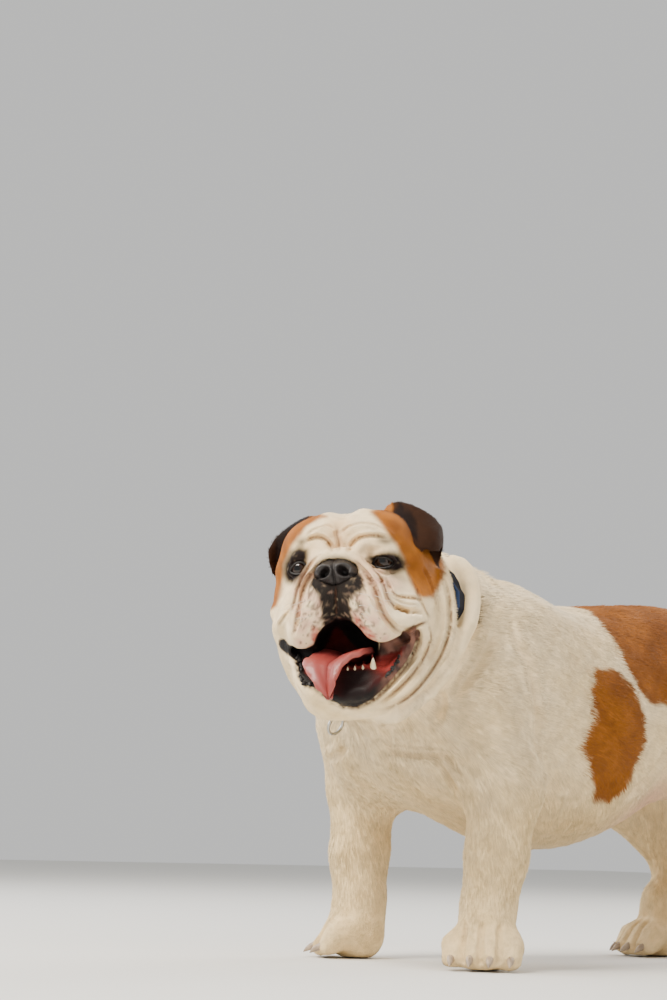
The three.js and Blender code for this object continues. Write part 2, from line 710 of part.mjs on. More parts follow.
function collar(extra) {
  const flat = [];
  const faces = [];
  for (let k = 0; k < COLLAR_STEPS; k++) {
    const way = strapWay(k);
    const [front, back] = strapEdges.map((edge) => edge[k]);
    const half = COLLAR_WIDTH / 2 + extra;
    const inner = -COLLAR_THICKNESS / 2 - extra;
    const outer = COLLAR_THICKNESS / 2 + extra;
    flat.push(
      ...fromCollar(way, front + inner, -half),
      ...fromCollar(way, back + inner, half),
      ...fromCollar(way, back + outer, half),
      ...fromCollar(way, front + outer, -half),
    );
    const next = (k + 1) % COLLAR_STEPS;
    for (let c = 0; c < 4; c++) {
      const [a, b] = [k * 4 + c, k * 4 + ((c + 1) % 4)];
      const [d, e] = [next * 4 + c, next * 4 + ((c + 1) % 4)];
      faces.push(a, b, e, a, e, d);
    }
  }
  return solidOf(
    new THREE.BufferGeometry()
      .setAttribute("position", new THREE.Float32BufferAttribute(flat, 3))
      .setIndex(faces),
  );
}

// Fittings stand on the outer face of the strap: X along the strap, Y across it, Z outwards.
const FITTING_CLEARANCE = 1;
const onOuterFace = (step, edge, offset) =>
  collarMiddle
    .clone()
    .addScaledVector(strapWay(step), strapEdges[edge][step] + COLLAR_THICKNESS / 2)
    .addScaledVector(collarAxis, offset);

function onStrap(step, geometry) {
  const front = onOuterFace(step, 0, -COLLAR_WIDTH / 2);
  const back = onOuterFace(step, 1, COLLAR_WIDTH / 2);
  const along = onOuterFace(step + 1, 0, 0).sub(onOuterFace(step - 1, 0, 0));
  along.add(onOuterFace(step + 1, 1, 0).sub(onOuterFace(step - 1, 1, 0))).normalize();
  const across = back.clone().sub(front);
  const out = along.clone().cross(across).normalize();
  if (out.dot(strapWay(step)) < 0) out.negate();
  const place = new THREE.Matrix4().makeBasis(along, out.clone().cross(along), out);
  place.setPosition(front.add(back).multiplyScalar(0.5).addScaledVector(out, FITTING_CLEARANCE));
  return solidOf(geometry.applyMatrix4(place));
}
const bar = (sizes, at) => new THREE.BoxGeometry(...sizes).translate(...at);

// Skins of the parts: the finer the forms, the smaller the cells
const CELL = { head: 9.4, jaw: 11.6, neck: 25, trunk: 29, foreleg: 18, hindleg: 20, paw: 11.2 };
const headSkin = solidOf(skinOf(flesh, [-80, -300, 225], [180, 20, 520], CELL.head));
const jawSkin = solidOf(skinOf(flesh, [-80, -300, 225], [180, 20, 400], CELL.jaw));
const neckSkin = solidOf(skinOf(flesh, [-180, -250, 180], [200, 150, 520], CELL.neck));
const trunkSkin = solidOf(skinOf(flesh, [-210, -210, 50], [210, 560, 490], CELL.trunk));

const seats = {
  eyes: [eyeball(1, GAP), eyeball(-1, GAP)],
  nose: noseBall(GAP),
  ears: [ear("left", 1, GAP), ear("right", -1, GAP)],
  tongue: tongue(GAP),
  tail: tail(GAP),
  collar: collar(GAP),
};

const upperPart = headSkin.intersect(inRegion([...headRegion, opposite(jawCut)]));
const withLids = joined([upperPart, ...lids(1), ...lids(-1)]);
const headSeats = [...seats.eyes, seats.nose, ...seats.ears, seats.tongue, seats.collar];
add("head", without(withLids, headSeats), "white");

const lowerPart = jawSkin.intersect(inRegion([...headRegion, jawCut]));
const teeth = TOOTH_ROW.flatMap((one) => [tooth(one, 1), tooth(one, -1)]);
add("lower_jaw", without(joined([lowerPart, ...teeth]), [seats.tongue, seats.collar]), "white");

const neckPart = neckSkin.intersect(inRegion(neckRegion));
add("neck", without(neckPart, [toolOf(headRegion), seats.collar, ...seats.ears]), "white");

const hipsAndElbows = [forelegRegion, mirrorX(forelegRegion), hindlegRegion, mirrorX(hindlegRegion)];
add(
  "torso",
  without(trunkSkin, [...[headRegion, neckRegion, ...hipsAndElbows].map(toolOf), seats.tail, seats.collar]),
  "white",
);

add("nose", without(noseBall(0), [nostril(1), nostril(-1)]), "dark");
add("tongue", tongue(0), "tongue");
add("tail", tail(0), "tan");

const legBoxes = {
  foreleg: { low: [30, -120, 10], high: [200, 110, 290], step: CELL.foreleg, region: forelegRegion },
  hindleg: { low: [10, 300, 10], high: [170, 560, 420], step: CELL.hindleg, region: hindlegRegion },
};
const pawBoxes = {
  forepaw: { low: [50, -100, -24], high: [195, 60, 80], step: CELL.paw },
  hindpaw: { low: [10, 350, -24], high: [150, 530, 80], step: CELL.paw },
};

function claws(name, sign) {
  const foot = pawPlaces[name];
  return TOES.map(({ side, lead }) => {
    const root = [side * TOE_PITCH * foot.width * TOE_FAN, TOE_TIP.out + lead - TOE_TIP.radius + 4, 13];
    const claw = new THREE.ConeGeometry(CLAW.radius, CLAW.length, 6)
      .translate(0, CLAW.length / 2 - 6, 0)
      .rotateX(Math.PI - rad(CLAW.droop))
      .translate(...root)
      .applyMatrix4(placeOfPaw(foot));
    return solidOf(claw.scale(sign, 1, 1));
  });
}

for (const [side, sign] of [["left", 1], ["right", -1]]) {
  const facing = (planes) => (sign > 0 ? planes : mirrorX(planes));
  const span = ({ low, high }) =>
    sign > 0 ? [low, high] : [[-high[0], low[1], low[2]], [-low[0], high[1], high[2]]];
  for (const [name, box] of Object.entries(legBoxes)) {
    const skin = solidOf(skinOf(flesh, ...span(box), box.step));
    const leg = skin.intersect(inRegion([...facing(box.region), opposite(pawCut)]));
    add(name + "_" + side, without(leg, [toolOf(headRegion), toolOf(neckRegion)]), "white");
  }
  for (const [name, box] of Object.entries(pawBoxes)) {
    const skin = solidOf(skinOf(flesh, ...span(box), box.step));
    const floored = joined([skin, ...claws(name, sign)]).intersect(inRegion([pawCut]));
    add(name + "_" + side, floored.intersect(regionSolid([floorCut], 0)), "white");
  }
  add("eye_" + side, eyeball(sign, 0), "eye");
  add("ear_" + side, without(ear(side, sign, 0), [seats.collar]), "tan");
}

add("collar", collar(0), "webbing");
const BUCKLE_STEP = 18; // on the right side of the neck
const RING_STEP = 30; // under the throat
const buckle = [
  bar([3, 30, 3], [-11, 0, 1.5]),
  bar([3, 30, 3], [11, 0, 1.5]),
  bar([25, 3, 3], [0, -14, 1.5]),
  bar([25, 3, 3], [0, 14, 1.5]),
  bar([22, 3, 2.6], [0, 0, 1.6]),
];
add("collar_buckle", joined(buckle.map((piece) => onStrap(BUCKLE_STEP, piece))), "metal");
const ringPieces = [
  bar([7, 20, 5], [0, 0, 2.5]),
  new THREE.TorusGeometry(11, 1.8, 6, 14).rotateY(Math.PI / 2).translate(0, 0, 13),
];
add("collar_ring", joined(ringPieces.map((piece) => onStrap(RING_STEP, piece))), "metal");

// The origin is on the floor, under the middle of the dog.
const size = new THREE.Box3().setFromObject(dog);
dog.position.set(-(size.min.x + size.max.x) / 2, -(size.min.y + size.max.y) / 2, -size.min.z);

export default dog;
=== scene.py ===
# %% [markdown]
# # An English bulldog, life size, as a museum model
# The solids from CAD carry the true size and outline of the dog. This lesson dresses them: one skin with its
# folds, the short coat, the wet nose and tongue, the eyes, teeth, claws and collar. Everything is in metres,
# in the frame of the solids: the dog looks along -Y, and its left side is +X.

# %% Load the solids
import math
import bpy
import numpy as np
from mathutils import Matrix, Vector
from mathutils.bvhtree import BVHTree


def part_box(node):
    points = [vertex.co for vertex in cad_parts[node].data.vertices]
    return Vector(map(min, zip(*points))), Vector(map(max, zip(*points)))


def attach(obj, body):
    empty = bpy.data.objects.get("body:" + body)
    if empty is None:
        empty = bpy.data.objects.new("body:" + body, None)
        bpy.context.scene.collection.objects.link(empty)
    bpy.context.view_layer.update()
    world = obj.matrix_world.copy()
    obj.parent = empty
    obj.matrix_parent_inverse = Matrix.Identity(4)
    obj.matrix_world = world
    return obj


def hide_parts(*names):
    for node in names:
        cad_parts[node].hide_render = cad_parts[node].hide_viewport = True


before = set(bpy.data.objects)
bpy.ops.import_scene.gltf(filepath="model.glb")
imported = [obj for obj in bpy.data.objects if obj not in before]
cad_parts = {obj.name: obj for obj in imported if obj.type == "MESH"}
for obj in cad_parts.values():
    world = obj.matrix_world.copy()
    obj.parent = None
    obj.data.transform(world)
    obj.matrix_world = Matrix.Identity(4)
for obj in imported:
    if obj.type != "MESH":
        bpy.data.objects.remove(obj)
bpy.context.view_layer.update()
BODY = "root"
MM = 0.001
chance = np.random.default_rng(11)

# %% [markdown]
# ## Measures on the head
# The head is turned and tilted, so its details are easier to give in the head's own millimetres: x to the
# dog's left, y backwards, z up, with the eyes at the level of zero. The two eyeballs in CAD fix that frame.

# %% The head's own frame
HEAD_TURN = 38
HEAD_NOD = 3
HEAD_TILT = 5
EYE_SEAT = (45, -60, 0)
EYE_RADIUS = 12.5


def middle(node):
    low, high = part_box(node)
    return np.array((low + high) / 2)


head_axes = np.array(
    Matrix.Rotation(math.radians(HEAD_TURN), 3, "Z")
    @ Matrix.Rotation(math.radians(-HEAD_NOD), 3, "X")
    @ Matrix.Rotation(math.radians(-HEAD_TILT), 3, "Y")
)
eye_middle = (middle("eye_left") + middle("eye_right")) / 2
head_seat = eye_middle - head_axes @ np.array([0, EYE_SEAT[1] * MM, 0])


def out_of_head(points):
    return head_seat + (np.atleast_2d(np.asarray(points, float)) * MM) @ head_axes.T


def into_head(points):
    return ((np.atleast_2d(points) - head_seat) @ head_axes) / MM


print("left eye in head millimetres:", into_head(middle("eye_left")).round(1))

# %% [markdown]
# ## Camera, floor and light
# A long lens, low over the ground and a little rolled, gives the photographed view. The floor is a plain
# pale sheet, and large soft lamps stand in for an overcast sky.

# %% Camera
LENS = 81
CAMERA_BEARING = math.radians(50)
CAMERA_DISTANCE = 2.56
CAMERA_HEIGHT = 0.136
DOG_SHIFT = -0.1387
PHOTO_FOCAL = 2250
PHOTO_MIDDLE = (333.5, 500)
PAWS_AT = 430
HORIZON_AT = 838
CAMERA_ROLL = math.radians(1.6)

camera_seat = Vector((
    math.sin(CAMERA_BEARING) * CAMERA_DISTANCE,
    -math.cos(CAMERA_BEARING) * CAMERA_DISTANCE + DOG_SHIFT,
    CAMERA_HEIGHT,
))
yaw = math.atan((PAWS_AT - PHOTO_MIDDLE[0]) / PHOTO_FOCAL)
pitch = math.atan((HORIZON_AT - PHOTO_MIDDLE[1]) / PHOTO_FOCAL)
level = -Vector((math.sin(CAMERA_BEARING), -math.cos(CAMERA_BEARING), 0))
level.rotate(Matrix.Rotation(yaw, 3, "Z"))
side = level.cross(Vector((0, 0, 1)))
look = level * math.cos(pitch) + Vector((0, 0, 1)) * math.sin(pitch)
over = side.cross(look)
right = side * math.cos(CAMERA_ROLL) + over * math.sin(CAMERA_ROLL)
up = over * math.cos(CAMERA_ROLL) - side * math.sin(CAMERA_ROLL)
camera = bpy.data.objects.new("camera", bpy.data.cameras.new("camera"))
bpy.context.scene.collection.objects.link(camera)
camera.data.lens = LENS
camera.data.clip_end = 50
camera.matrix_world = Matrix((
    (right.x, up.x, -look.x, camera_seat.x),
    (right.y, up.y, -look.y, camera_seat.y),
    (right.z, up.z, -look.z, camera_seat.z),
    (0, 0, 0, 1),
))
bpy.context.scene.camera = camera
print("camera at", [round(v, 3) for v in camera_seat])

# %% Helpers for picking objects and colours


def pick(piece):
    bpy.ops.object.select_all(action="DESELECT")
    piece.select_set(True)
    bpy.context.view_layer.objects.active = piece


def apply_modifier(piece, name, kind, **settings):
    """Give a piece one modifier with these settings, and apply it."""
    modifier = piece.modifiers.new(name, kind)
    for setting, value in settings.items():
        setattr(modifier, setting, value)
    pick(piece)
    bpy.ops.object.modifier_apply(modifier=modifier.name)


def edit_whole(piece, *steps):
    """Run operators of edit mode, each with its settings, on the whole mesh."""
    pick(piece)
    bpy.ops.object.mode_set(mode="EDIT")
    bpy.ops.mesh.select_all(action="SELECT")
    for operator, settings in steps:
        operator(**settings)
    bpy.ops.object.mode_set(mode="OBJECT")


def linear(code):
    """A colour code as a paint chart gives it, as the linear light that a shader works in."""
    values = np.array([int(code[i:i + 2], 16) / 255 for i in (0, 2, 4)])
    return np.where(values < 0.04045, values / 12.92, ((values + 0.055) / 1.055) ** 2.4)


def plain_material(name, code, roughness):
    made = bpy.data.materials.new(name)
    made.use_nodes = True
    shader = made.node_tree.nodes["Principled BSDF"]
    shader.inputs["Base Color"].default_value = (*linear(code), 1)
    shader.inputs["Roughness"].default_value = roughness
    return made


# %% Floor and lamps
FLOOR_SIZE = 14
bpy.ops.object.select_all(action="DESELECT")
bpy.ops.mesh.primitive_plane_add(size=FLOOR_SIZE, location=(0, 0, 0))
floor = bpy.context.active_object
floor.name = "floor"
floor.data.materials.append(plain_material("pale_floor", "d9d8d4", 0.9))

LAMPS = [
    ("key", (0.2, -2.6, 3.1), 1.7, 270, (1, 0.93, 0.82)),
    ("fill", (2.9, 0.6, 1.5), 2.4, 40, (1, 0.95, 0.88)),
    ("far_side", (-2.6, -1.0, 1.8), 2.2, 75, (0.97, 0.97, 1)),
    ("back", (-0.4, 2.9, 2.2), 2.0, 80, (1, 0.96, 0.9)),
]
for name, seat, size, power, tint in LAMPS:
    lamp = bpy.data.lights.new(name, "AREA")
    lamp.size = size
    lamp.energy = power
    lamp.color = tint
    holder = bpy.data.objects.new(name, lamp)
    bpy.context.scene.collection.objects.link(holder)
    holder.location = seat
    aim = Vector((0, -0.1, 0.28)) - Vector(seat)
    holder.rotation_euler = aim.to_track_quat("-Z", "Y").to_euler()
sky = bpy.data.worlds.new("studio")
bpy.context.scene.world = sky
sky.use_nodes = True
sky.node_tree.nodes["Background"].inputs["Color"].default_value = (0.93, 0.93, 0.92, 1)
sky.node_tree.nodes["Background"].inputs["Strength"].default_value = 0.75
print("lamps:", len(LAMPS))

# %% [markdown]
# ## One skin over all the flesh
# A real skin has no seams at the neck or the hips. Copies of the flesh solids are joined, each a hair fatter
# so that the thin gaps between them close, and a voxel remesh wraps them in one surface. Sculpting by hand
# would do as well, but the remesh keeps the measured outline.

# %% Join copies of the flesh
SIDES = ("left", "right")
HANDS = (("left", 1), ("right", -1))
FLESH = ["head", "lower_jaw", "neck", "torso", "tail"]
PAIRED = ("foreleg", "hindleg", "forepaw", "hindpaw", "ear")
FLESH += [part + "_" + hand for part in PAIRED for hand in SIDES]
GAP_CLOSER = 0.0005


def points_of(mesh):
    flat = np.empty(len(mesh.vertices) * 3)
    mesh.vertices.foreach_get("co", flat)
    return flat.reshape(-1, 3)


def normals_of(mesh):
    flat = np.empty(len(mesh.vertices) * 3)
    mesh.vertices.foreach_get("normal", flat)
    return flat.reshape(-1, 3)


def place_points(mesh, points):
    mesh.vertices.foreach_set("co", points.ravel())
    mesh.update()


def tree_of(mesh):
    faces = [tuple(face.vertices) for face in mesh.polygons]
    return BVHTree.FromPolygons([tuple(p) for p in points_of(mesh)], faces)


def merged_copy(name, node):
    piece = bpy.data.objects.new(name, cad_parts[node].data.copy())
    bpy.context.scene.collection.objects.link(piece)
    piece.data.materials.clear()
    edit_whole(piece, (bpy.ops.mesh.remove_doubles, {"threshold": 0.00001}))
    return piece


def join_all(pieces, name):
    pick(pieces[0])
    for piece in pieces:
        piece.select_set(True)
    if len(pieces) > 1:
        bpy.ops.object.join()
    joined = bpy.context.active_object
    joined.name = name
    joined.data.name = name
    return joined


flesh = [merged_copy("flesh_" + node, node) for node in FLESH]
ear_trees = [tree_of(piece.data) for piece in flesh if "ear" in piece.name]
for piece in flesh:
    place_points(piece.data, points_of(piece.data) + normals_of(piece.data) * GAP_CLOSER)
skin = join_all(flesh, "bulldog_skin")
solid_tree = tree_of(skin.data)
print("joined flesh:", len(skin.data.polygons), "faces")

# %% [markdown]
# ## Folds as ropes of flesh
# The breed's face is made of loose skin lying in rolls: one over the nose and down both cheeks, one under
# each eye, a pad over each brow, the jowl, and a thick roll of the neck that half buries the collar. A roll
# that overhangs can't be pushed up from a surface, so each one is a tapered tube laid on the face before the
# remesh melts it in. Its line is given as it is seen in the photograph, and cast onto the solid.

# %% Tubes along a path


def smooth_path(points, steps):
    """Points on a smooth line through the given ones."""
    knots = np.asarray(points, float)
    ends = [2 * knots[0] - knots[1], *knots, 2 * knots[-1] - knots[-2]]
    places = []
    for t in np.linspace(0, len(knots) - 1, steps):
        i = min(int(t), len(knots) - 2)
        u = t - i
        a, b, c, d = ends[i:i + 4]
        square = 2 * a - 5 * b + 4 * c - d
        cube = 3 * b - a - 3 * c + d
        places.append(0.5 * (2 * b + (c - a) * u + square * u * u + cube * u ** 3))
    return np.array(places)


def tube(name, path, radii, roundness=3, closed=False):
    line = bpy.data.curves.new(name, "CURVE")
    line.dimensions = "3D"
    line.bevel_depth = 1
    line.bevel_resolution = roundness
    line.use_fill_caps = not closed
    run = line.splines.new("POLY")
    run.points.add(len(path) - 1)
    run.use_cyclic_u = closed
    for knot, place, radius in zip(run.points, path, radii):
        knot.co = (*place, 1)
        knot.radius = radius
    piece = bpy.data.objects.new(name, line)
    bpy.context.scene.collection.objects.link(piece)
    pick(piece)
    bpy.ops.object.convert(target="MESH")
    return bpy.context.active_object


def face_seat(tree, x, z, start=-200):
    """Where a straight line into the face, at x and z in head millimetres, meets the surface."""
    hit = tree.ray_cast(Vector(out_of_head([x, start, z])[0]), Vector(head_axes[:, 1]))
    return None if hit[0] is None else np.array(hit[0])


def seen_seat(tree, place):
    """Where the line of sight through a point of the photograph meets the surface."""
    off_x = (place[0] - PHOTO_MIDDLE[0]) / PHOTO_FOCAL
    off_y = (PHOTO_MIDDLE[1] - place[1]) / PHOTO_FOCAL
    hit = tree.ray_cast(camera_seat, (look + right * off_x + up * off_y).normalized())
    return None if hit[0] is None else np.array(hit[0])


def seen_line(tree, points, steps=24):
    seats = [seen_seat(tree, place) for place in smooth_path(points, steps)]
    return np.array([seat for seat in seats if seat is not None])


def seen_places(points):
    """Where points of the dog appear in the photograph, in its pixels."""
    off = points - np.array(camera_seat)
    deep = off @ np.array(look)
    across = PHOTO_MIDDLE[0] + PHOTO_FOCAL * (off @ np.array(right)) / deep
    return across, PHOTO_MIDDLE[1] - PHOTO_FOCAL * (off @ np.array(up)) / deep


# %% Lay the folds of the face
FACE_ROLLS = {
    "nose_roll": (
        [(289.8, 622.6), (293.9, 606), (298.9, 587.8), (306.3, 572.9), (316.3, 561.6), (326.2, 555.8),
        (336.2, 554), (347.8, 555.3), (359.4, 561.3), (369.4, 571.2), (377.6, 585.3), (383, 599.4),
        (389.3, 611), (399.2, 619), (412.5, 619.6), (423.7, 617.3)],
        (5, 6, 6, 6.4, 7.8, 8.6), 0.05),
    "under_eye_roll": (
        [(387.3, 588.6), (393.4, 597.7), (403.3, 603.4), (413.3, 605.4), (419.4, 605.2)],
        (4.2, 5.6, 6.2, 6), 0.1),
    "brow_near": (
        [(354.4, 552.1), (362.7, 546), (375.2, 544.3), (387.6, 548.3), (397.5, 555)],
        (5, 7, 7, 6), 0.5),
    "brow_far": (
        [(327.9, 551.6), (320.4, 546.3), (311.6, 546.7), (305, 553)],
        (5, 6, 6, 5), 0.5),
    "forehead_near": (
        [(346.1, 537.2), (354.4, 530.1), (369.4, 527.8), (384.3, 531.7), (394.2, 540.5)],
        (5, 7, 7, 5), 0.62),
    "forehead_far": (
        [(332.9, 537.2), (324.6, 531.7), (313.8, 532.4), (305, 537.4)],
        (5, 6.5, 6, 5), 0.62),
    "lid_hood_near": (
        [(371.8, 557.9), (380.1, 555.8), (390.1, 557.6), (398.4, 562.9)],
        (2.6, 3.4, 3.4, 3), 0.1),
    "lid_hood_far": (
        [(306.3, 557.9), (301.7, 554.3), (295.6, 555.5), (289.8, 561.3)],
        (2.6, 3.2, 3.2, 3), 0.1),
    "far_cheek_fold": (
        [(288.4, 612.7), (281.5, 620.6), (279.8, 629.3), (284.4, 636.7)],
        (4, 5.5, 5.5, 4), 0.2),
    "near_lip_fold": (
        [(422.4, 629.3), (424.4, 642.5), (419.9, 657.4), (410, 670.7), (397.5, 683.6), (382.6, 694.8)],
        (6, 6.5, 6.5, 5), 0.35),
    "corner_fold": (
        [(405.8, 633.4), (413.3, 627.3), (421.1, 624.6), (424.4, 632.6), (423.4, 644.2), (418.3, 657.4)],
        (4.5, 6.5, 7, 6), 0.2),
    "jowl": (
        [(438.3, 567.9), (445, 587.8), (447.3, 611), (446.6, 629.3), (441, 647.5), (431.5, 664.1),
        (419.9, 679.8), (403.3, 694.3), (382.6, 703.9)],
        (8, 11.5, 12.5, 11, 9), 0.3),
    "neck_over_collar": (
        [(445.6, 551.3), (453.9, 561.3), (467.5, 577.8), (472.5, 597.7), (469.5, 621), (458.9, 643.3),
        (445.6, 663.3), (430.7, 681.5), (414.1, 698.1), (394.2, 711.3), (374.3, 718.8)],
        (13, 14, 11, 11, 15, 16, 15, 14), 0.15),
}


def flesh_roll(name, points, radii, sink):
    """A tapered tube along a seen line, drawn taut over hollows and sunk by a share of its radius."""
    path = seen_line(solid_tree, points, 40)
    rays = path - np.array(camera_seat)
    deep = np.linalg.norm(rays, axis=1)
    shallow = np.array([deep[max(0, i - 4):i + 5].min() for i in range(len(deep))])
    taut = np.array([shallow[max(0, i - 3):i + 4].mean() for i in range(len(deep))])
    path = np.array(camera_seat) + rays / deep[:, None] * taut[:, None]
    thick = np.interp(np.linspace(0, 1, len(path)), np.linspace(0, 1, len(radii)), radii) * MM
    path = path + np.array(look) * (thick * sink)[:, None]
    ends = np.clip(np.minimum(np.arange(len(path)), np.arange(len(path))[::-1]) / 3, 0.25, 1) ** 0.5
    roll_paths.append((path, thick.max()))
    return tube(name, path, thick * ends)


roll_paths = []
rolls = [flesh_roll(name, *roll) for name, roll in FACE_ROLLS.items()]
skin = join_all([skin, *rolls], "bulldog_skin")
print("rolls laid:", len(rolls))

# %% Wrap them in one surface
SKIN_CELL = 0.0021
apply_modifier(skin, "one skin", "REMESH", mode="VOXEL", voxel_size=SKIN_CELL)
print("wrapped skin:", len(skin.data.vertices), "points")

# %% [markdown]
# ## Soften the facets
# The solids are faceted, so each point is drawn to the mean of its neighbours: often on the body, seldom on
# the face and ears, whose forms are small. Smoothing also thins a limb, so the mean loss is given back.

# %% Draw points to their neighbours
COLLAR_AXIS = np.array([-0.34, 0.88, -0.33]) / np.linalg.norm([-0.34, 0.88, -0.33])
COLLAR_MIDDLE = out_of_head([-2, 58, -52])[0]
PAW_TOP = 0.046


def ramp(values, start, end):
    t = np.clip((values - start) / (end - start), 0, 1)
    return t * t * (3 - 2 * t)


def behind_collar(points):
    """Millimetres behind the middle of the collar, along the neck."""
    return (points - COLLAR_MIDDLE) @ COLLAR_AXIS / MM


class Neighbours:
    """The points next to each point of a mesh, for taking means over the surface."""

    def __init__(self, mesh):
        ends = np.empty(len(mesh.edges) * 2, dtype=np.int64)
        mesh.edges.foreach_get("vertices", ends)
        ends = ends.reshape(-1, 2)
        near = np.concatenate([ends[:, 0], ends[:, 1]])
        far = np.concatenate([ends[:, 1], ends[:, 0]])
        self.far = far[np.argsort(near, kind="stable")]
        self.counts = np.bincount(near, minlength=len(mesh.vertices))
        self.starts = np.cumsum(self.counts) - self.counts

    def mean(self, values):
        total = np.add.reduceat(values[self.far], self.starts, axis=0)
        return total / self.counts.reshape(-1, *[1] * (values.ndim - 1))


def softened(points, neighbours, rounds):
    for turn in range(int(rounds.max())):
        share = np.clip(rounds - turn, 0, 1)[:, None] * 0.5
        points = points + (neighbours.mean(points) - points) * share
    return points


BODY_ROUNDS = 130
LEG_ROUNDS = 60
PAW_ROUNDS = 10
FACE_ROUNDS = 12
EAR_ROUNDS = 4
ROLL_ROUNDS = 2
EAR_REACH = 0.005
start = points_of(skin.data)
bend = Neighbours(skin.data)
ahead = ramp(behind_collar(start), -45, 5)
rounds = LEG_ROUNDS + (BODY_ROUNDS - LEG_ROUNDS) * ramp(start[:, 2], 0.14, 0.26)
rounds = PAW_ROUNDS + (rounds - PAW_ROUNDS) * ramp(start[:, 2], PAW_TOP, PAW_TOP + 0.05)
rounds = np.where(start[:, 2] > 0.2, FACE_ROUNDS + (rounds - FACE_ROUNDS) * ahead, rounds)
on_ear = np.zeros(len(start), bool)
for i in np.nonzero(behind_collar(start) < 30)[0]:
    if start[i, 2] > 0.36:
        on_ear[i] = any(tree.find_nearest(Vector(start[i]), EAR_REACH)[0] is not None for tree in ear_trees)
rounds[on_ear] = EAR_ROUNDS
for path, thick in roll_paths:
    low = path.min(axis=0) - 2 * thick
    high = path.max(axis=0) + 2 * thick
    near = np.nonzero(((start > low) & (start < high)).all(axis=1))[0]
    gap = np.min([np.linalg.norm(start[near] - knot, axis=1) for knot in path], axis=0)
    rounds[near] = np.minimum(rounds[near], ROLL_ROUNDS + 60 * ramp(gap / thick, 1.15, 2.2))
soft = softened(start, bend, rounds)
place_points(skin.data, soft)
normals = normals_of(skin.data)
loss = np.einsum("ij,ij->i", start - soft, normals)
for _ in range(50):
    loss = loss + (bend.mean(loss) - loss) * 0.6
soft = soft + normals * (loss * ~on_ear)[:, None]
place_points(skin.data, soft)
print("mean loss given back (mm):", round(float(loss.mean()) * 1000, 2))

# %% [markdown]
# ## Creases
# Between two rolls the skin dips into a narrow valley with a swollen bank on each side. Each crease is a line
# on the surface with a width and a depth in millimetres. Lines on the face are given as the photograph shows
# them and cast onto the skin, and lines on the body are points of the dog in millimetres.

# %% Give the face a finer mesh
skin_points = into_head(points_of(skin.data))
fine = (np.abs(skin_points[:, 0]) < 108) & (skin_points[:, 1] < -8)
fine &= (skin_points[:, 2] > -165) & (skin_points[:, 2] < 72)
for vertex, chosen in zip(skin.data.vertices, fine):
    vertex.select = bool(chosen)
pick(skin)
bpy.ops.object.mode_set(mode="EDIT")
bpy.ops.mesh.select_mode(type="VERT")
bpy.ops.mesh.subdivide(number_cuts=1)
bpy.ops.object.mode_set(mode="OBJECT")
print("skin with a fine face:", len(skin.data.vertices), "points")

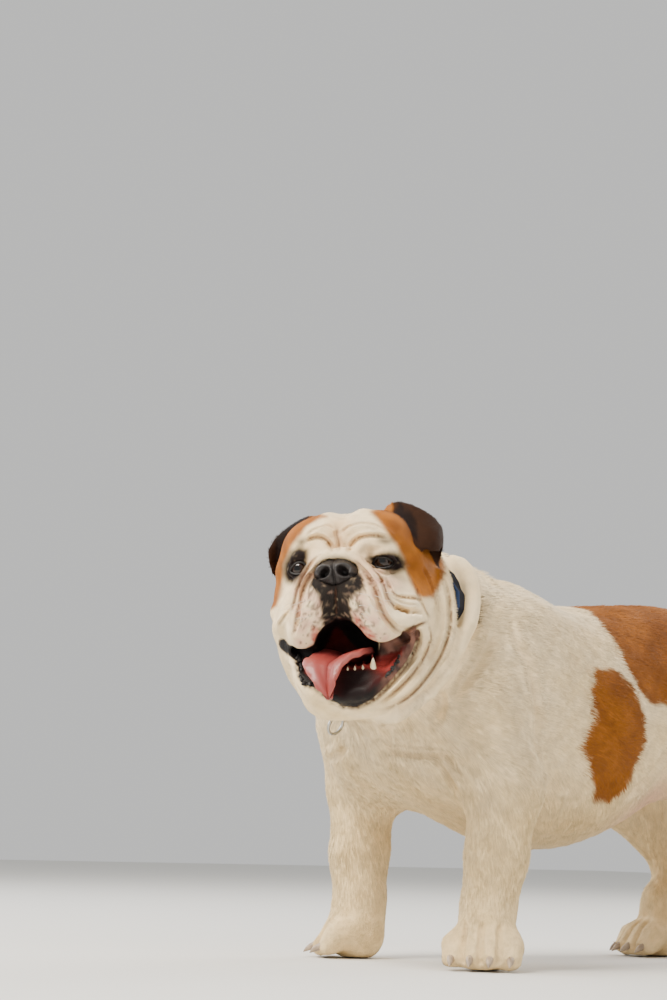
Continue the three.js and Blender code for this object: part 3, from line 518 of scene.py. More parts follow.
# %% The creases of the face and body
# Each crease: points, width, depth, swelling of the banks.
FACE_CREASES = {
    "nose roll, near inner edge": (
        [(356.1, 563.3), (366, 574.9), (373, 585.5), (377.6, 596.9), (381, 608), (385.9, 618),
         (394.2, 627.6), (403.3, 634.2)], 2.6, 7.5, 0.8),
    "nose roll, far inner edge": (
        [(317.9, 566.6), (309.7, 576.5), (303.8, 587), (300.4, 598.1), (297.7, 611), (295.4, 623),
         (293.1, 634.2)], 2.5, 7, 0.8),
    "nose roll, near outer edge": (
        [(363.5, 557.6), (372.7, 566.6), (380.6, 577.8), (384.9, 587.8), (387.9, 597.4), (394.2, 606.4),
         (403.3, 611.3), (412.5, 612.7), (420.8, 611.3)], 2.1, 6, 0.6),
    "nose roll, far outer edge": (
        [(318.3, 555), (311.3, 561.3), (306.7, 569.9), (301.4, 579.8), (297.2, 589.8), (293.9, 602.7),
         (291.1, 612.7)], 2.1, 5, 0.6),
    "under the near eye": (
        [(385.9, 577.5), (389.9, 586.5), (394.9, 594.1), (403.3, 597.1), (414.1, 598.1), (421.1, 600.4)],
        2, 4.5, 0.8),
    "split in the roll under the near eye": (
        [(390.1, 594.8), (397.5, 600.7), (407.5, 604), (417.8, 604.7)], 1.2, 1.6, 0.3),
    "over the near mouth corner": (
        [(404.2, 634.6), (406.7, 630.6), (412.5, 627.3), (420.8, 623.9), (427.7, 621.3)], 2.4, 5.5, 0.8),
    "lip fold, inner edge": (
        [(417.1, 626.8), (418.8, 639.2), (414.5, 654.1), (405.8, 667.4), (394.2, 681.5), (382.6, 693.1),
         (369.4, 703.1)], 2.2, 5, 0.6),
    "lip fold, outer edge": (
        [(429.1, 624.3), (430.7, 637.5), (426.6, 652.5), (418.3, 666.6), (406.7, 680.7), (393.4, 693.1),
         (377.6, 703.9)], 2.4, 5, 0.6),
    "near brow": (
        [(348.6, 551), (351.1, 544.3), (356.9, 538.5), (366, 535.7), (377.6, 535.7), (386.8, 538.4)],
        2, 5.5, 1),
    "far brow": (
        [(332.2, 551.3), (329.9, 545), (324.9, 539.4), (318.3, 536.9), (311.3, 538), (305.7, 542)],
        2, 5, 1),
    "furrow between the brows": (
        [(337.5, 528.4), (337.2, 534.7), (338.8, 541.4), (339.8, 550.3)], 2.2, 3.8, 0.8),
    "near forehead": (
        [(340.2, 532.7), (344.5, 529.1), (349.8, 525.8), (361.1, 522.5), (374.3, 524.1), (384.6, 530.1)],
        1.8, 2.6, 0.8),
    "far forehead": (
        [(334.9, 529.8), (327.9, 525.1), (315.5, 528.1), (306.7, 534.7)], 1.8, 2, 0.8),
    "near lower lid": (
        [(371, 563.3), (378, 570.5), (386.3, 573.9), (394.6, 571.5)], 1.4, 2.2, 0.6),
    "second line under the near eye": (
        [(372.7, 572.9), (379, 580.5), (386.6, 586.1)], 1.3, 1.4, 0.5),
    "under the far eye": (
        [(303, 572.9), (298.4, 583.2), (295.1, 590.8)], 1.4, 1.6, 0.6),
    "top of the nose": (
        [(319.3, 566.2), (325.9, 561.3), (336.2, 559.9), (346.5, 560.9), (354.8, 564.9)], 1.9, 5, 0.4),
    "middle of the upper lip": (
        [(335.9, 586.1), (335.9, 596.1), (336, 606), (336.4, 616.7)], 1.3, 3.4, 0.3),
    "behind the cheek folds": (
        [(416.1, 586.1), (419.4, 596.1), (424.4, 607.7), (429.9, 618.5)], 2, 3.5, 1),
    "outer end of the near eye": (
        [(405.8, 570.4), (412.8, 581.5), (419.9, 593.6)], 2, 2.2, 0.8),
    "before the near ear": (
        [(424.1, 567.9), (429.4, 579.5), (434.4, 594.4), (437.3, 611)], 2.2, 3, 1),
    "far cheek": (
        [(290.7, 608), (283.4, 617.3), (277.8, 626.6)], 1.8, 3, 0.8),
    "chin": (
        [(346.1, 707.9), (359.4, 707.2), (372.7, 701.6), (385.9, 693.3)], 2.2, 3, 1),
    "upper dimple of the muzzle": (
        [(371, 596.1), (375.2, 606), (381, 617.6)], 1.6, 1.4, 0.7),
    "lower dimple of the muzzle": (
        [(356.1, 596.1), (359.4, 607.7), (366.4, 622.6)], 1.6, 1.2, 0.7),
    "edge of the jowl": (
        [(441.5, 570.4), (448.3, 591.1), (450.9, 612.7), (449.3, 632.6), (443.2, 650.8), (434, 667.4),
         (423.3, 682.3), (411.6, 694.8), (397.5, 704.2), (379.3, 711.3)], 2.6, 6.5, 0.5),
}
BODY_CREASES = [
    ([(123, -122, 379), (132, -121, 356), (139, -109, 332), (142, -102, 300), (143, -95, 270),
      (150, -98, 243)], 5, 5, 2),
    ([(147, -107, 250), (149, -98, 226), (156, -106, 205)], 5, 4, 2),
    ([(33, -226, 238), (54, -218, 232), (93, -207, 229), (108, -196, 226), (110, -184, 207)], 4, 5, 2),
    ([(93, -207, 231), (99, -192, 212), (99, -180, 196), (100, -170, 181)], 4, 4.5, 2),
    ([(123, -205, 290), (128, -183, 317), (128, -162, 343), (123, -148, 368)], 6, 3.5, 2.2),
    ([(119, -215, 296), (114, -213, 280), (105, -213, 265)], 4, 3, 1.5),
    ([(124, -190, 350), (117, -169, 384), (100, -146, 409)], 5, 2.6, 1.8),
    ([(-118, -150, 350), (-122, -140, 320), (-126, -138, 290)], 6, 3, 2),
    ([(-123, -118, 379), (-136, -112, 345), (-141, -104, 310), (-143, -97, 270), (-150, -98, 240)],
     5, 4.5, 2),
    ([(92, -112, 420), (60, -118, 432), (20, -116, 438), (-30, -116, 430)], 6, 3, 2.5),
    ([(96, 80, 196), (104, 110, 214), (112, 140, 240), (116, 160, 270)], 6, 4.5, 2),
    ([(-96, 80, 196), (-104, 110, 214), (-112, 140, 240), (-116, 160, 270)], 6, 4.5, 2),
    ([(60, -236, 262), (50, -240, 248), (44, -232, 232)], 5, 2.5, 1.5),
    ([(-33, -226, 238), (-54, -218, 232), (-84, -207, 229), (-100, -196, 222)], 4, 4, 2),
    ([(0, -248, 290), (6, -244, 262), (4, -238, 236)], 7, 3, 1.5),
]
CREASE_STEP = 0.0015


def crease_line(tree, points, space):
    if space == "face":
        path = seen_line(tree, points, 40)
    else:
        path = []
        for place in smooth_path(np.array(points) * MM, 30):
            path.append(np.array(tree.find_nearest(Vector(place))[0]))
        path = np.array(path)
    steps = max(8, int(np.linalg.norm(np.diff(path, axis=0), axis=1).sum() / CREASE_STEP))
    return smooth_path(path, steps)


skin_tree = tree_of(skin.data)
creases = [(crease_line(skin_tree, row[0], "face"), *row[1:]) for row in FACE_CREASES.values()]
creases += [(crease_line(skin_tree, row[0], "body"), *row[1:]) for row in BODY_CREASES]

# %% [markdown]
# ## Toes
# The four toes of a paw are parted by deep grooves, each toe with a knuckle. The grooves run back over the
# foot between the claws' places.

# %% Grooves between the toes
PAWS = {
    "forepaw": {"width": 1.04, "at": (0.114, -0.004), "turn": 42},
    "hindpaw": {"width": 0.94, "at": (0.072, 0.446), "turn": 12},
}
TOE_PITCH = 17
TOE_FAN = 1.2
TOES = ((-1.5, 9), (-0.5, 0), (0.5, 0), (1.5, 9))


def out_of_paw(kind, hand, points):
    """Points in a paw's own millimetres, pointing along -Y, as places on the dog."""
    foot = PAWS[kind]
    turn = np.array(Matrix.Rotation(math.radians(foot["turn"]), 3, "Z"))
    seat = np.array([foot["at"][0], foot["at"][1] + DOG_SHIFT, 0])
    placed = seat + (np.atleast_2d(np.asarray(points, float)) * MM) @ turn.T
    return placed * (np.array([1, 1, 1]) if hand == "left" else np.array([-1, 1, 1]))


def toe_groove(kind, hand, place):
    pitch_here = TOE_PITCH * PAWS[kind]["width"]
    x = place * pitch_here
    row = [(x * 0.9, -16, 48), (x, -26, 40), (x * 1.15, -38, 26), (x * 1.25, -46, 12), (x * 1.25, -46, 4)]
    path = [np.array(skin_tree.find_nearest(Vector(p))[0]) for p in out_of_paw(kind, hand, row)]
    return smooth_path(np.array(path), 40)


for kind in PAWS:
    for hand in SIDES:
        for place in (-1, 0, 1):
            creases.append((toe_groove(kind, hand, place), 2.6, 4.0, 0.6))
print("creases:", len(creases))

# %% Press the creases in


def crease_push(points, path, width, depth, bank):
    """How far each point moves out along its normal, in millimetres, for one crease."""
    reach = 4 * width * MM
    low = path.min(axis=0) - reach
    high = path.max(axis=0) + reach
    near = np.nonzero(((points > low) & (points < high)).all(axis=1))[0]
    push = np.zeros(len(points))
    if len(near) == 0:
        return push
    best = np.full(len(near), 1e9)
    along = np.zeros(len(near))
    for k, knot in enumerate(path):
        gap = np.linalg.norm(points[near] - knot, axis=1)
        closer = gap < best
        best[closer] = gap[closer]
        along[closer] = k / (len(path) - 1)
    span = best / MM / width
    fade = np.clip(np.minimum(along, 1 - along) * 5 + 0.15, 0, 1)
    push[near] = fade * (bank * np.exp(-((span - 2) ** 2)) - depth * np.exp(-(span ** 2)))
    return push


skin_points = points_of(skin.data)
bend = Neighbours(skin.data)
skin_normals = normals_of(skin.data)
for _ in range(4):
    skin_normals = bend.mean(skin_normals)
skin_normals /= np.linalg.norm(skin_normals, axis=1)[:, None]
push = np.zeros(len(skin_points))
for row in creases:
    push += crease_push(skin_points, *row)
push = np.clip(push, -9, 3.0)
skin_points = skin_points + skin_normals * push[:, None] * MM
place_points(skin.data, softened(skin_points, bend, np.full(len(skin_points), 1.0)))
print("deepest crease (mm):", round(float(push.min()), 1))

# %% [markdown]
# ## Room for the eyes
# The lids part in the shape of an almond. The skin that would cross the opening is drawn back behind the
# eyeball, so that the eye is seen whole and the lids made later meet it.

# %% Open the lids
LID_OPENING = {
    "left": [(35, -2), (38, 1.8), (45, 3.2), (52, 1.8), (57, -2.5), (53, -6.8), (45, -8), (38, -5.6)],
    "right": [(-35, 0), (-39, 5), (-45, 6.2), (-51, 3.2), (-55, -2), (-51, -5.6), (-44, -6.6), (-38, -4)],
}


def almond_gap(x, z, hand, sign):
    """Distance from the middle of the eye, where 1 is the edge of the opening between the lids."""
    ring = np.array(LID_OPENING[hand], float) - (EYE_SEAT[0] * sign, EYE_SEAT[2])
    angle = np.arctan2(ring[:, 1], ring[:, 0])
    order = np.argsort(angle)
    reach = np.hypot(ring[:, 0], ring[:, 1])[order]
    angle = angle[order]
    turn = np.arctan2(z - EYE_SEAT[2], x - EYE_SEAT[0] * sign)
    edge = np.interp(turn, angle, reach, period=2 * math.pi)
    return np.hypot(x - EYE_SEAT[0] * sign, z - EYE_SEAT[2]) / edge


skin_points = points_of(skin.data)
local = into_head(skin_points)
for hand, sign in HANDS:
    gap = almond_gap(local[:, 0], local[:, 2], hand, sign)
    off = (local[:, 0] - EYE_SEAT[0] * sign) ** 2 + (local[:, 2] - EYE_SEAT[2]) ** 2
    ball_front = EYE_SEAT[1] - np.sqrt(np.clip((EYE_RADIUS + 1) ** 2 - off, 1, None))
    crossing = (gap < 1.12) & (local[:, 1] < ball_front + 2.2) & (local[:, 1] > -100)
    local[crossing, 1] = ball_front[crossing] + 2.2
    print("points drawn back from the", hand, "eye:", int(crossing.sum()))
near_face = (np.abs(local[:, 0]) < 70) & (local[:, 1] < -30) & (local[:, 2] > -20)
skin_points[near_face] = out_of_head(local[near_face])
place_points(skin.data, skin_points)

# %% [markdown]
# ## Fewer faces, and room for the coat
# Flat stretches need few faces, and a decimate keeps them where the form bends. The skin is then drawn in by
# the depth of the coat, which is thickest on the body and nearly nothing on the muzzle.

# %% Decimate and draw in
SKIN_FACES = 188000
triangles = sum(len(face.vertices) - 2 for face in skin.data.polygons)
share = min(1, SKIN_FACES / triangles)
apply_modifier(skin, "fewer faces", "DECIMATE", ratio=share, use_collapse_triangulate=True)


def coat_depth(points):
    """Depth of the lying coat, in metres."""
    local = into_head(points)
    on_head = 1 - ramp(behind_collar(points), -30, 0)
    on_head *= ramp(points[:, 2], 0.22, 0.26)
    face = 0.8 + 0.5 * ramp(local[:, 1], -60, 10)
    feet = 1 - ramp(points[:, 2], 0.03, 0.09)
    body = 2.0 - 0.9 * feet
    return (body + (face - body) * on_head) * MM


skin_points = points_of(skin.data)
skin_normals = normals_of(skin.data)
skin_points = skin_points - skin_normals * coat_depth(skin_points)[:, None]
skin_points[:, 2] = np.maximum(skin_points[:, 2], 0.0006)
place_points(skin.data, skin_points)
skin.data.polygons.foreach_set("use_smooth", np.ones(len(skin.data.polygons), bool))
skin_tree = tree_of(skin.data)
print("skin faces:", len(skin.data.polygons))

# %% [markdown]
# ## Where each colour of the coat lies
# One function gives the colour of a place on the dog, and the skin and every tuft of the coat both ask it, so
# that the markings agree. The patches are outlines with soft, slightly ragged edges; the spots of the
# muzzle are scattered points, and the bottom of each fold gets a painted shade of dark brown.

# %% Ragged edges and outlines


def ripple(points, size, seed):
    """A soft random value from -1 to 1 that changes over about size metres."""
    dice = np.random.default_rng(seed)
    total = np.zeros(len(points))
    for _ in range(7):
        way = dice.normal(size=3)
        way *= 2 * math.pi / (size * dice.uniform(0.6, 1.7)) / np.linalg.norm(way)
        total += np.sin(points @ way + dice.uniform(0, 6.3))
    return total / 4.5


def inside_outline(u, v, outline, soft):
    """1 inside a closed outline, 0 outside, with an edge of twice soft."""
    corners = np.array(outline, float)
    inside = np.zeros(len(u), bool)
    gap = np.full(len(u), 1e9)
    for a, b in zip(corners, np.roll(corners, -1, axis=0)):
        crosses = (a[1] > v) != (b[1] > v)
        with np.errstate(divide="ignore", invalid="ignore"):
            inside ^= crosses & (u < (b[0] - a[0]) * (v - a[1]) / (b[1] - a[1]) + a[0])
        run = b - a
        t = np.clip(((u - a[0]) * run[0] + (v - a[1]) * run[1]) / (run @ run), 0, 1)
        gap = np.minimum(gap, np.hypot(u - a[0] - t * run[0], v - a[1] - t * run[1]))
    return ramp(np.where(inside, gap, -gap), -soft, soft)


# %% Colours and outlines of the markings
CREAM = linear("f4e0bb")
WARM_CREAM = linear("dcbb80")
PINK = linear("d6a491")
RAW_PINK = linear("b8584c")
TAN = linear("a0601e")
DEEP_TAN = linear("6f3d12")
EAR_DARK = linear("22120b")
BLACK_SKIN = linear("151111")
FOLD_SHADE = linear("5c3b2b")
MOUTH_RED = linear("4a1512")
GUM_RED = linear("8c3430")
PAD_GREY = linear("3a3230")
FURROW_TAN = linear("c79a6c")
ROLL_TAN = linear("d2a884")
LIP_BROWN = linear("7d584b")
FACE_BACK = -14
EAR_SKIN = 0.0045
BROW_DARK_SPOTS = (((385, 541), (8, 4)), ((302, 542), (5, 5)))

# Outlines on the face, as the photograph shows them
TEMPLE_NEAR = [
    (371, 512.3), (381, 523.4), (389.3, 535.6), (397.5, 546.7), (403.3, 557.9), (406.2, 570.4),
    (410.8, 583.2), (416.1, 593.4), (422.4, 598.1), (432.4, 597.1), (438.3, 587.8), (444, 572.9),
    (447.3, 529.8), (422.4, 490), (389.3, 490),
]
TEMPLE_FAR = [
    (326.2, 515.7), (313, 521.5), (304.7, 528.4), (298.4, 536.4), (293.4, 545), (288.4, 555),
    (284.4, 566.2), (283.4, 577.8), (281.5, 587.8), (279.1, 597.7), (277.5, 606.4), (271.5, 609.4),
    (263.2, 606), (256.6, 579.5), (264.9, 529.8), (298, 504.9),
]
DARK_EYE_NEAR = [
    (366, 557.9), (371, 555), (379.3, 553), (389.3, 551.3), (399.2, 553.8), (405.8, 561.3),
    (405.8, 570.4), (395.9, 573.7), (385.9, 572.2), (376, 566.2),
]
DARK_EYE_FAR = [
    (308, 549.7), (299.7, 547.2), (291.4, 551.3), (284.8, 562.9), (283.4, 574.5), (286.4, 582.8),
    (294.7, 583.6), (301.7, 577), (306.7, 567.9), (308.3, 557.9),
]
MOUTH_OUTLINE = [
    (336.5, 616.3), (346.1, 625.9), (356.1, 638.4), (366.9, 646.7), (381, 649.2), (393.4, 645),
    (403.3, 635.9), (411.6, 628.1), (416.1, 625.9), (416.1, 639.2), (411.6, 652.5), (403.3, 665.7),
    (393.4, 678.2), (382.6, 689.3), (371, 699.7), (356.9, 706.9), (342.8, 706.4), (330.4, 699.7),
    (317.9, 689.3), (306.3, 684.8), (298.9, 674.9), (297.2, 662.4), (297.2, 654.1), (303.8, 653.8),
    (313, 650.8), (319.6, 643.3), (323.7, 633.4), (330.4, 623.4),
]
DARK_MUZZLE = [
    (319.6, 564.9), (313, 577.8), (311.3, 587.8), (317.9, 593.1), (321.3, 603.1), (322.1, 613),
    (322.9, 624.3), (319.6, 639.2), (317.6, 647.8), (323.7, 633.4), (330.4, 623.4), (336.5, 616.3),
    (346.1, 625.9), (356.1, 638.4), (354.8, 625.9), (351.8, 613), (349.8, 603.1), (354.4, 594.8),
    (362.4, 589.8), (363.1, 579.5), (356.1, 565.4), (336.2, 559.3),
]
RAW_LIP_NEAR = [
    (352.8, 611), (359.4, 617.3), (366.4, 625.9), (374.7, 634.2), (378, 643.3), (371.3, 646.2),
    (362.7, 641.2), (356.9, 629.6), (353.6, 619.3),
]
RAW_LIP_FAR = [
    (311.3, 625.9), (317.3, 625.9), (318.6, 635.1), (315.6, 643.3), (311.3, 640),
]
EAR_HOLLOW_SHADE_NEAR = [
    (391.2, 500.2), (397.5, 501.2), (410.8, 512.3), (415.5, 523.1), (417.1, 535.6), (418.3, 541.7),
    (410.8, 534.7), (401.7, 524.8), (394.2, 515.7),
]
EAR_HOLLOW_SHADE_FAR = [
    (305.5, 511.5), (294.7, 515.7), (284.8, 524.8), (278.5, 536.4), (275.2, 549.7), (274.5, 562.9),
    (278.5, 569.6), (283.4, 557.9), (289.8, 543), (299.7, 529.8), (306, 522.3),
]
FLANK_PATCH = [
    (2, 336), (49, 334), (65, 319), (79, 291), (85, 257), (77, 228), (68, 200), (50, 186), (25, 187),
    (7, 209), (-23, 246), (-10, 275), (-9, 309),
]
RUMP_EDGE = [
    (62, 440), (72, 409), (62, 380), (60, 350), (76, 318), (98, 303), (130, 300), (170, 312), (210, 330),
    (262, 318), (300, 330), (330, 372),
]
SPOTS = 230
SPOT_SPREAD = np.abs(chance.normal(0, 15, SPOTS)) + 16
spot_side = chance.choice([-1, 1], SPOTS)
spot_places = np.column_stack([SPOT_SPREAD * spot_side, chance.uniform(-92, -20, SPOTS)])
MUZZLE_SPOTS = [face_seat(skin_tree, x, z) for x, z in spot_places]
MUZZLE_SPOTS = [seat for seat in MUZZLE_SPOTS if seat is not None]
SPOT_SIZES = chance.uniform(0.6, 2.3, SPOTS) * (0.6 + 0.4 * (SPOT_SPREAD < 30))

# %% The colour of a place


def blend(paint, other, share):
    return paint + (np.asarray(other) - paint) * np.clip(share, 0, 1)[:, None]


FOLD_REACH = 0.014


def fold_share(points):
    """How deep in a crease each point lies, 0 to 1.

    The bottom of a crease has moved away from its line, so on the face the gap is measured as it is seen, and
    on the body the line is taken wider.
    """
    pressed = np.zeros(len(points))
    px, py = seen_places(points)
    for n, (path, width, depth, bank) in enumerate(creases):
        if n >= len(FACE_CREASES):
            pressed -= np.minimum(0, crease_push(points, path, width * 1.25, depth, 0)) / 6
            continue
        boxed = (points > path.min(axis=0) - FOLD_REACH) & (points < path.max(axis=0) + FOLD_REACH)
        near = np.nonzero(boxed.all(axis=1))[0]
        if len(near) == 0:
            continue
        qx, qy = seen_places(path)
        gap = np.full(len(near), 1e9)
        along = np.zeros(len(near))
        for k in range(len(path)):
            here = np.hypot(px[near] - qx[k], py[near] - qy[k])
            here = np.where(np.linalg.norm(points[near] - path[k], axis=1) < FOLD_REACH, here, 1e9)
            closer = here < gap
            gap[closer] = here[closer]
            along[closer] = k / (len(path) - 1)
        fade = np.clip(np.minimum(along, 1 - along) * 5 + 0.15, 0, 1)
        pressed[near] += fade * np.exp(-((gap / (width * 0.62)) ** 2)) * min(1, depth / 4.5)
    return np.clip(pressed, 0, 1)


def inside_any(px, py, *outlines):
    """1 inside any of these outlines, each given with the softness of its edge."""
    return np.max([inside_outline(px, py, outline, soft) for outline, soft in outlines], axis=0)


def body_markings(paint, points, body, fine_fray):
    """The patch on the left flank, the saddle over the rump, and the groin's bare pink skin with painted
    shade.
    """
    u, v = points[:, 1] / MM, points[:, 2] / MM
    ragged = 3.5 * ripple(points, 0.03, 5) + 1.5 * fine_fray
    flank = inside_outline(u + ragged, v + ragged * 0.6, FLANK_PATCH, 3.2) * ramp(points[:, 0], 0.02, 0.03)
    edge_y = [p[0] for p in RUMP_EDGE]
    edge_z = [p[1] for p in RUMP_EDGE]
    low_edge = np.interp(u, edge_y[2:], edge_z[2:], left=999, right=430)
    front_edge = np.interp(v, edge_z[:3][::-1], edge_y[:3][::-1])
    rump = ramp(v - low_edge + ragged, -3.5, 3.5) * ramp(u - front_edge + ragged, -3.5, 3.5)
    rump *= 1 - ramp(u, 352, 362)
    patch = np.maximum(flank, rump) * body
    paint = blend(paint, TAN + (DEEP_TAN - TAN) * 0.35, patch)
    paint = blend(paint, DEEP_TAN, patch * np.clip(0.30 + 0.5 * ripple(points, 0.05, 6), 0, 0.7))
    # The groin: bare pink skin, its darkening partly painted shade of the fold in front of the thigh.
    groin = np.exp(-(((u - 140) / 60) ** 2 + ((v - 200) / 42) ** 2))
    groin *= ramp(-points[:, 0] ** 2, -0.012, -0.002)
    return blend(paint, PINK, groin * 0.8 * body)


def face_markings(paint, points, seen, on_head, frayed, fine_fray):
    """Temples, furrow, pink muzzle with its spots, dark mask and dark eyes."""
    x, y, z = into_head(points).T
    px, py = seen
    temple = inside_any(px, py, (TEMPLE_NEAR, 3.4), (TEMPLE_FAR, 3.0))
    temple *= (1 - ramp(y + 2 * frayed, 30, 44)) * on_head
    paint = blend(paint, TAN, temple)
    paint = blend(paint, DEEP_TAN, temple * np.clip(0.35 + 0.5 * ripple(points, 0.025, 7), 0, 0.8))
    front = on_head * (y < FACE_BACK)
    furrow = np.exp(-((x / 15) ** 2)) * ramp(z, 6, 20) * (1 - ramp(z, 44, 66)) * front
    paint = blend(paint, FURROW_TAN, furrow * 0.5)
    muzzle = front * (1 - ramp(z, -14, 4)) * ramp(z, -108, -100)
    muzzle *= (1 - ramp(np.abs(x - 2), 44, 58)) * ramp(-y, 52, 64)
    paint = blend(paint, PINK, muzzle * np.clip(0.38 + 0.4 * ripple(points, 0.014, 8), 0, 0.8))
    roll_tint = front * np.exp(-(((np.abs(x) - 34) / 16) ** 2)) * np.exp(-(((z + 4) / 22) ** 2))
    paint = blend(paint, ROLL_TAN, roll_tint * 0.5)
    under_eye = front * np.exp(-(((x - 56) / 9) ** 2) - (((z + 26) / 8) ** 2))
    paint = blend(paint, PINK, under_eye * 0.5)
    raw = inside_any(px, py, (RAW_LIP_NEAR, 1.4), (RAW_LIP_FAR, 1.4)) * front
    paint = blend(paint, RAW_PINK, raw * np.clip(0.65 + 0.5 * fine_fray, 0, 1))
    spots = np.zeros(len(points))
    nearby = np.nonzero(muzzle > 0.05)[0]
    for seat, size in zip(MUZZLE_SPOTS, SPOT_SIZES):
        gap = np.linalg.norm(points[nearby] - seat, axis=1) / MM
        spots[nearby] = np.maximum(spots[nearby], 1 - ramp(gap, size * 0.6, size * 1.7))
    paint = blend(paint, BLACK_SKIN, spots * np.clip(muzzle * 1.4, 0, 1) * 0.7)
    mask = inside_outline(px + 1.2 * fine_fray, py, DARK_MUZZLE, 1.8) * front * ramp(-y, 50, 60)
    paint = blend(paint, BLACK_SKIN, mask * np.clip(1.1 + 0.35 * fine_fray, 0.8, 0.99))
    # Two small dark spots over the brows, at the outer ends of their creases.
    brow_dark = np.zeros(len(points))
    for (at_x, at_y), (wide, high) in BROW_DARK_SPOTS:
        brow_dark += np.exp(-((px - at_x) / wide) ** 2 - ((py - at_y) / high) ** 2)
    paint = blend(paint, EAR_DARK * 0.8, brow_dark * front * 0.75)
    eye_dark = inside_any(px, py, (DARK_EYE_NEAR, 4.2), (DARK_EYE_FAR, 4.2)) * front
    return blend(paint, EAR_DARK * 0.45, eye_dark * np.clip(1.1 + 0.2 * fine_fray, 0.9, 1))


def ear_markings(paint, points, seen, on_head, frayed):
    """Tan roots, dark flaps, and painted shade in the hollow beside each fold."""
    x, y, z = into_head(points).T
    ear = np.zeros(len(points))
    for i in np.nonzero((on_head > 0.3) & (z > -30) & (np.abs(x) > 20))[0]:
        ear[i] = 1 - min(1, ear_distance(points[i]) / EAR_SKIN)
    ear = ramp(ear, 0.05, 0.5)
    outer = ramp(np.abs(x) + frayed, 46, 54)
    tip = np.maximum(outer, 1 - ramp(z - 0.5 * np.abs(x) + frayed, 14, 24))
    paint = blend(paint, TAN * 0.9, ear)
    paint = blend(paint, EAR_DARK, ear * np.clip(tip, 0, 0.96))
    # Painted shade in the hollow of each ear.
    hollow = inside_any(*seen, (EAR_HOLLOW_SHADE_NEAR, 1.5), (EAR_HOLLOW_SHADE_FAR, 2))
    return blend(paint, EAR_DARK * 0.35, ear * hollow * 0.85)


def mouth_markings(paint, points, on_head, fine_fray):
    """The red and black lining, and a black rim along the lips. Also gives where it is lips, and the rim."""
    x, y, z = into_head(points).T
    px, py = seen_places(points)
    front = on_head * (y < FACE_BACK)
    lips = np.maximum(inside_outline(px, py, MOUTH_OUTLINE, 0.7) * front, in_mouth(x, y, z) * on_head)
    edge = inside_outline(px, py, MOUTH_OUTLINE, 13)
    paint = blend(paint, MOUTH_RED, lips)
    low_lip = lips * (1 - ramp(edge + 0.06 * fine_fray, 0.80, 0.92)) * front
    paint = blend(paint, BLACK_SKIN, low_lip)
    near_lip = low_lip * ramp(x, 30, 44)
    paint = blend(paint, LIP_BROWN, near_lip * np.clip(0.65 + 0.5 * ripple(points, 0.012, 12), 0.2, 0.95))
    gum = lips * ramp(edge, 0.80, 0.92) * (1 - ramp(z, -104, -92)) * ramp(y, -80, -70)
    paint = blend(paint, GUM_RED, gum * np.clip(0.75 + 0.5 * ripple(points, 0.009, 9), 0, 1))
    sill = lips * np.exp(-(((x - 15) / 24) ** 4)) * (1 - ramp(z, -116, -110)) * (y < -62)
    paint = blend(paint, BLACK_SKIN, sill * 0.95)
    rim = front * np.exp(-(((edge - 0.44) / 0.10) ** 2)) * (1 - lips)
    paint = blend(paint, BLACK_SKIN, rim * np.clip(0.55 + 0.6 * ripple(points, 0.006, 10), 0, 1))
    return paint, lips, rim


def coat_paint(points):
    """Colour and wetness of each place on the dog."""
    on_head = (1 - ramp(behind_collar(points), -12, 4)) * ramp(points[:, 2], 0.2, 0.22)
    body = 1 - on_head
    frayed = ripple(points, 0.02, 3) * 2.4
    fine_fray = ripple(points, 0.006, 4)
    px, py = seen_places(points)
    seen = (px + 0.5 * frayed, py + 0.4 * frayed)
    paint = np.tile(CREAM, (len(points), 1))
    warmth = 0.30 + 0.22 * ripple(points, 0.09, 1) + 0.12 * ripple(points, 0.02, 2)
    paint = blend(paint, WARM_CREAM, warmth)
    paint = blend(paint, WARM_CREAM, 0.45 * (1 - ramp(points[:, 2], 0.12, 0.30)))
    paint = body_markings(paint, points, body, fine_fray)
    paint = face_markings(paint, points, seen, on_head, frayed, fine_fray)
    paint = ear_markings(paint, points, seen, on_head, frayed)
    paint, lips, rim = mouth_markings(paint, points, on_head, fine_fray)
    paint = blend(paint, PAD_GREY, 1 - ramp(points[:, 2], 0.0012, 0.003))
    # Painted shade at the bottom of the creases, strong on the head and faint on the body.
    paint = blend(paint, FOLD_SHADE, fold_share(points) * (0.93 * on_head + 0.35 * body) * (1 - lips))
    return np.clip(paint, 0.002, 1), np.maximum(lips, rim * 0.7)


# %% Places on the head that the paint asks for
MOUTH_SLIT = (((14, -84, -98), (44, -62, -94), 12), ((44, -62, -94), (68, -42, -74), 9))


def in_mouth(x, y, z):
    """1 on the lining of the mouth, which the solids hollow out as a ball with a slit to each corner."""
    ball = np.sqrt((x / 33) ** 2 + ((y + 56) / 48) ** 2 + ((z + 84) / 27) ** 2)
    share = 1 - ramp(ball, 0.98, 1.06)
    for first, last, radius in MOUTH_SLIT:
        run = np.subtract(last, first)
        off = np.column_stack([np.abs(x), y, z]) - first
        t = np.clip(off @ run / (run @ run), 0, 1)
        gap = np.linalg.norm(off - t[:, None] * run, axis=1)
        share = np.maximum(share, 1 - ramp(gap, radius, radius + 1.5))
    return share


def ear_distance(place):
    found = [tree.find_nearest(Vector(place), 0.008)[3] for tree in ear_trees]
    return min([d for d in found if d is not None], default=1)


# %% Paint the skin
def paint_attribute(mesh, name, paint):
    layer = mesh.color_attributes.new(name, "FLOAT_COLOR", "POINT")
    full = np.ones((len(mesh.vertices), 4))
    full[:, :3] = paint
    layer.data.foreach_set("color", full.ravel())


def number_attribute(mesh, name, values):
    layer = mesh.attributes.new(name, "FLOAT", "POINT")
    layer.data.foreach_set("value", np.asarray(values, float))


skin_points = points_of(skin.data)
skin_paint, skin_wet = coat_paint(skin_points)
paint_attribute(skin.data, "coat_paint", skin_paint)
number_attribute(skin.data, "wet", skin_wet)
print("painted points:", len(skin_points))
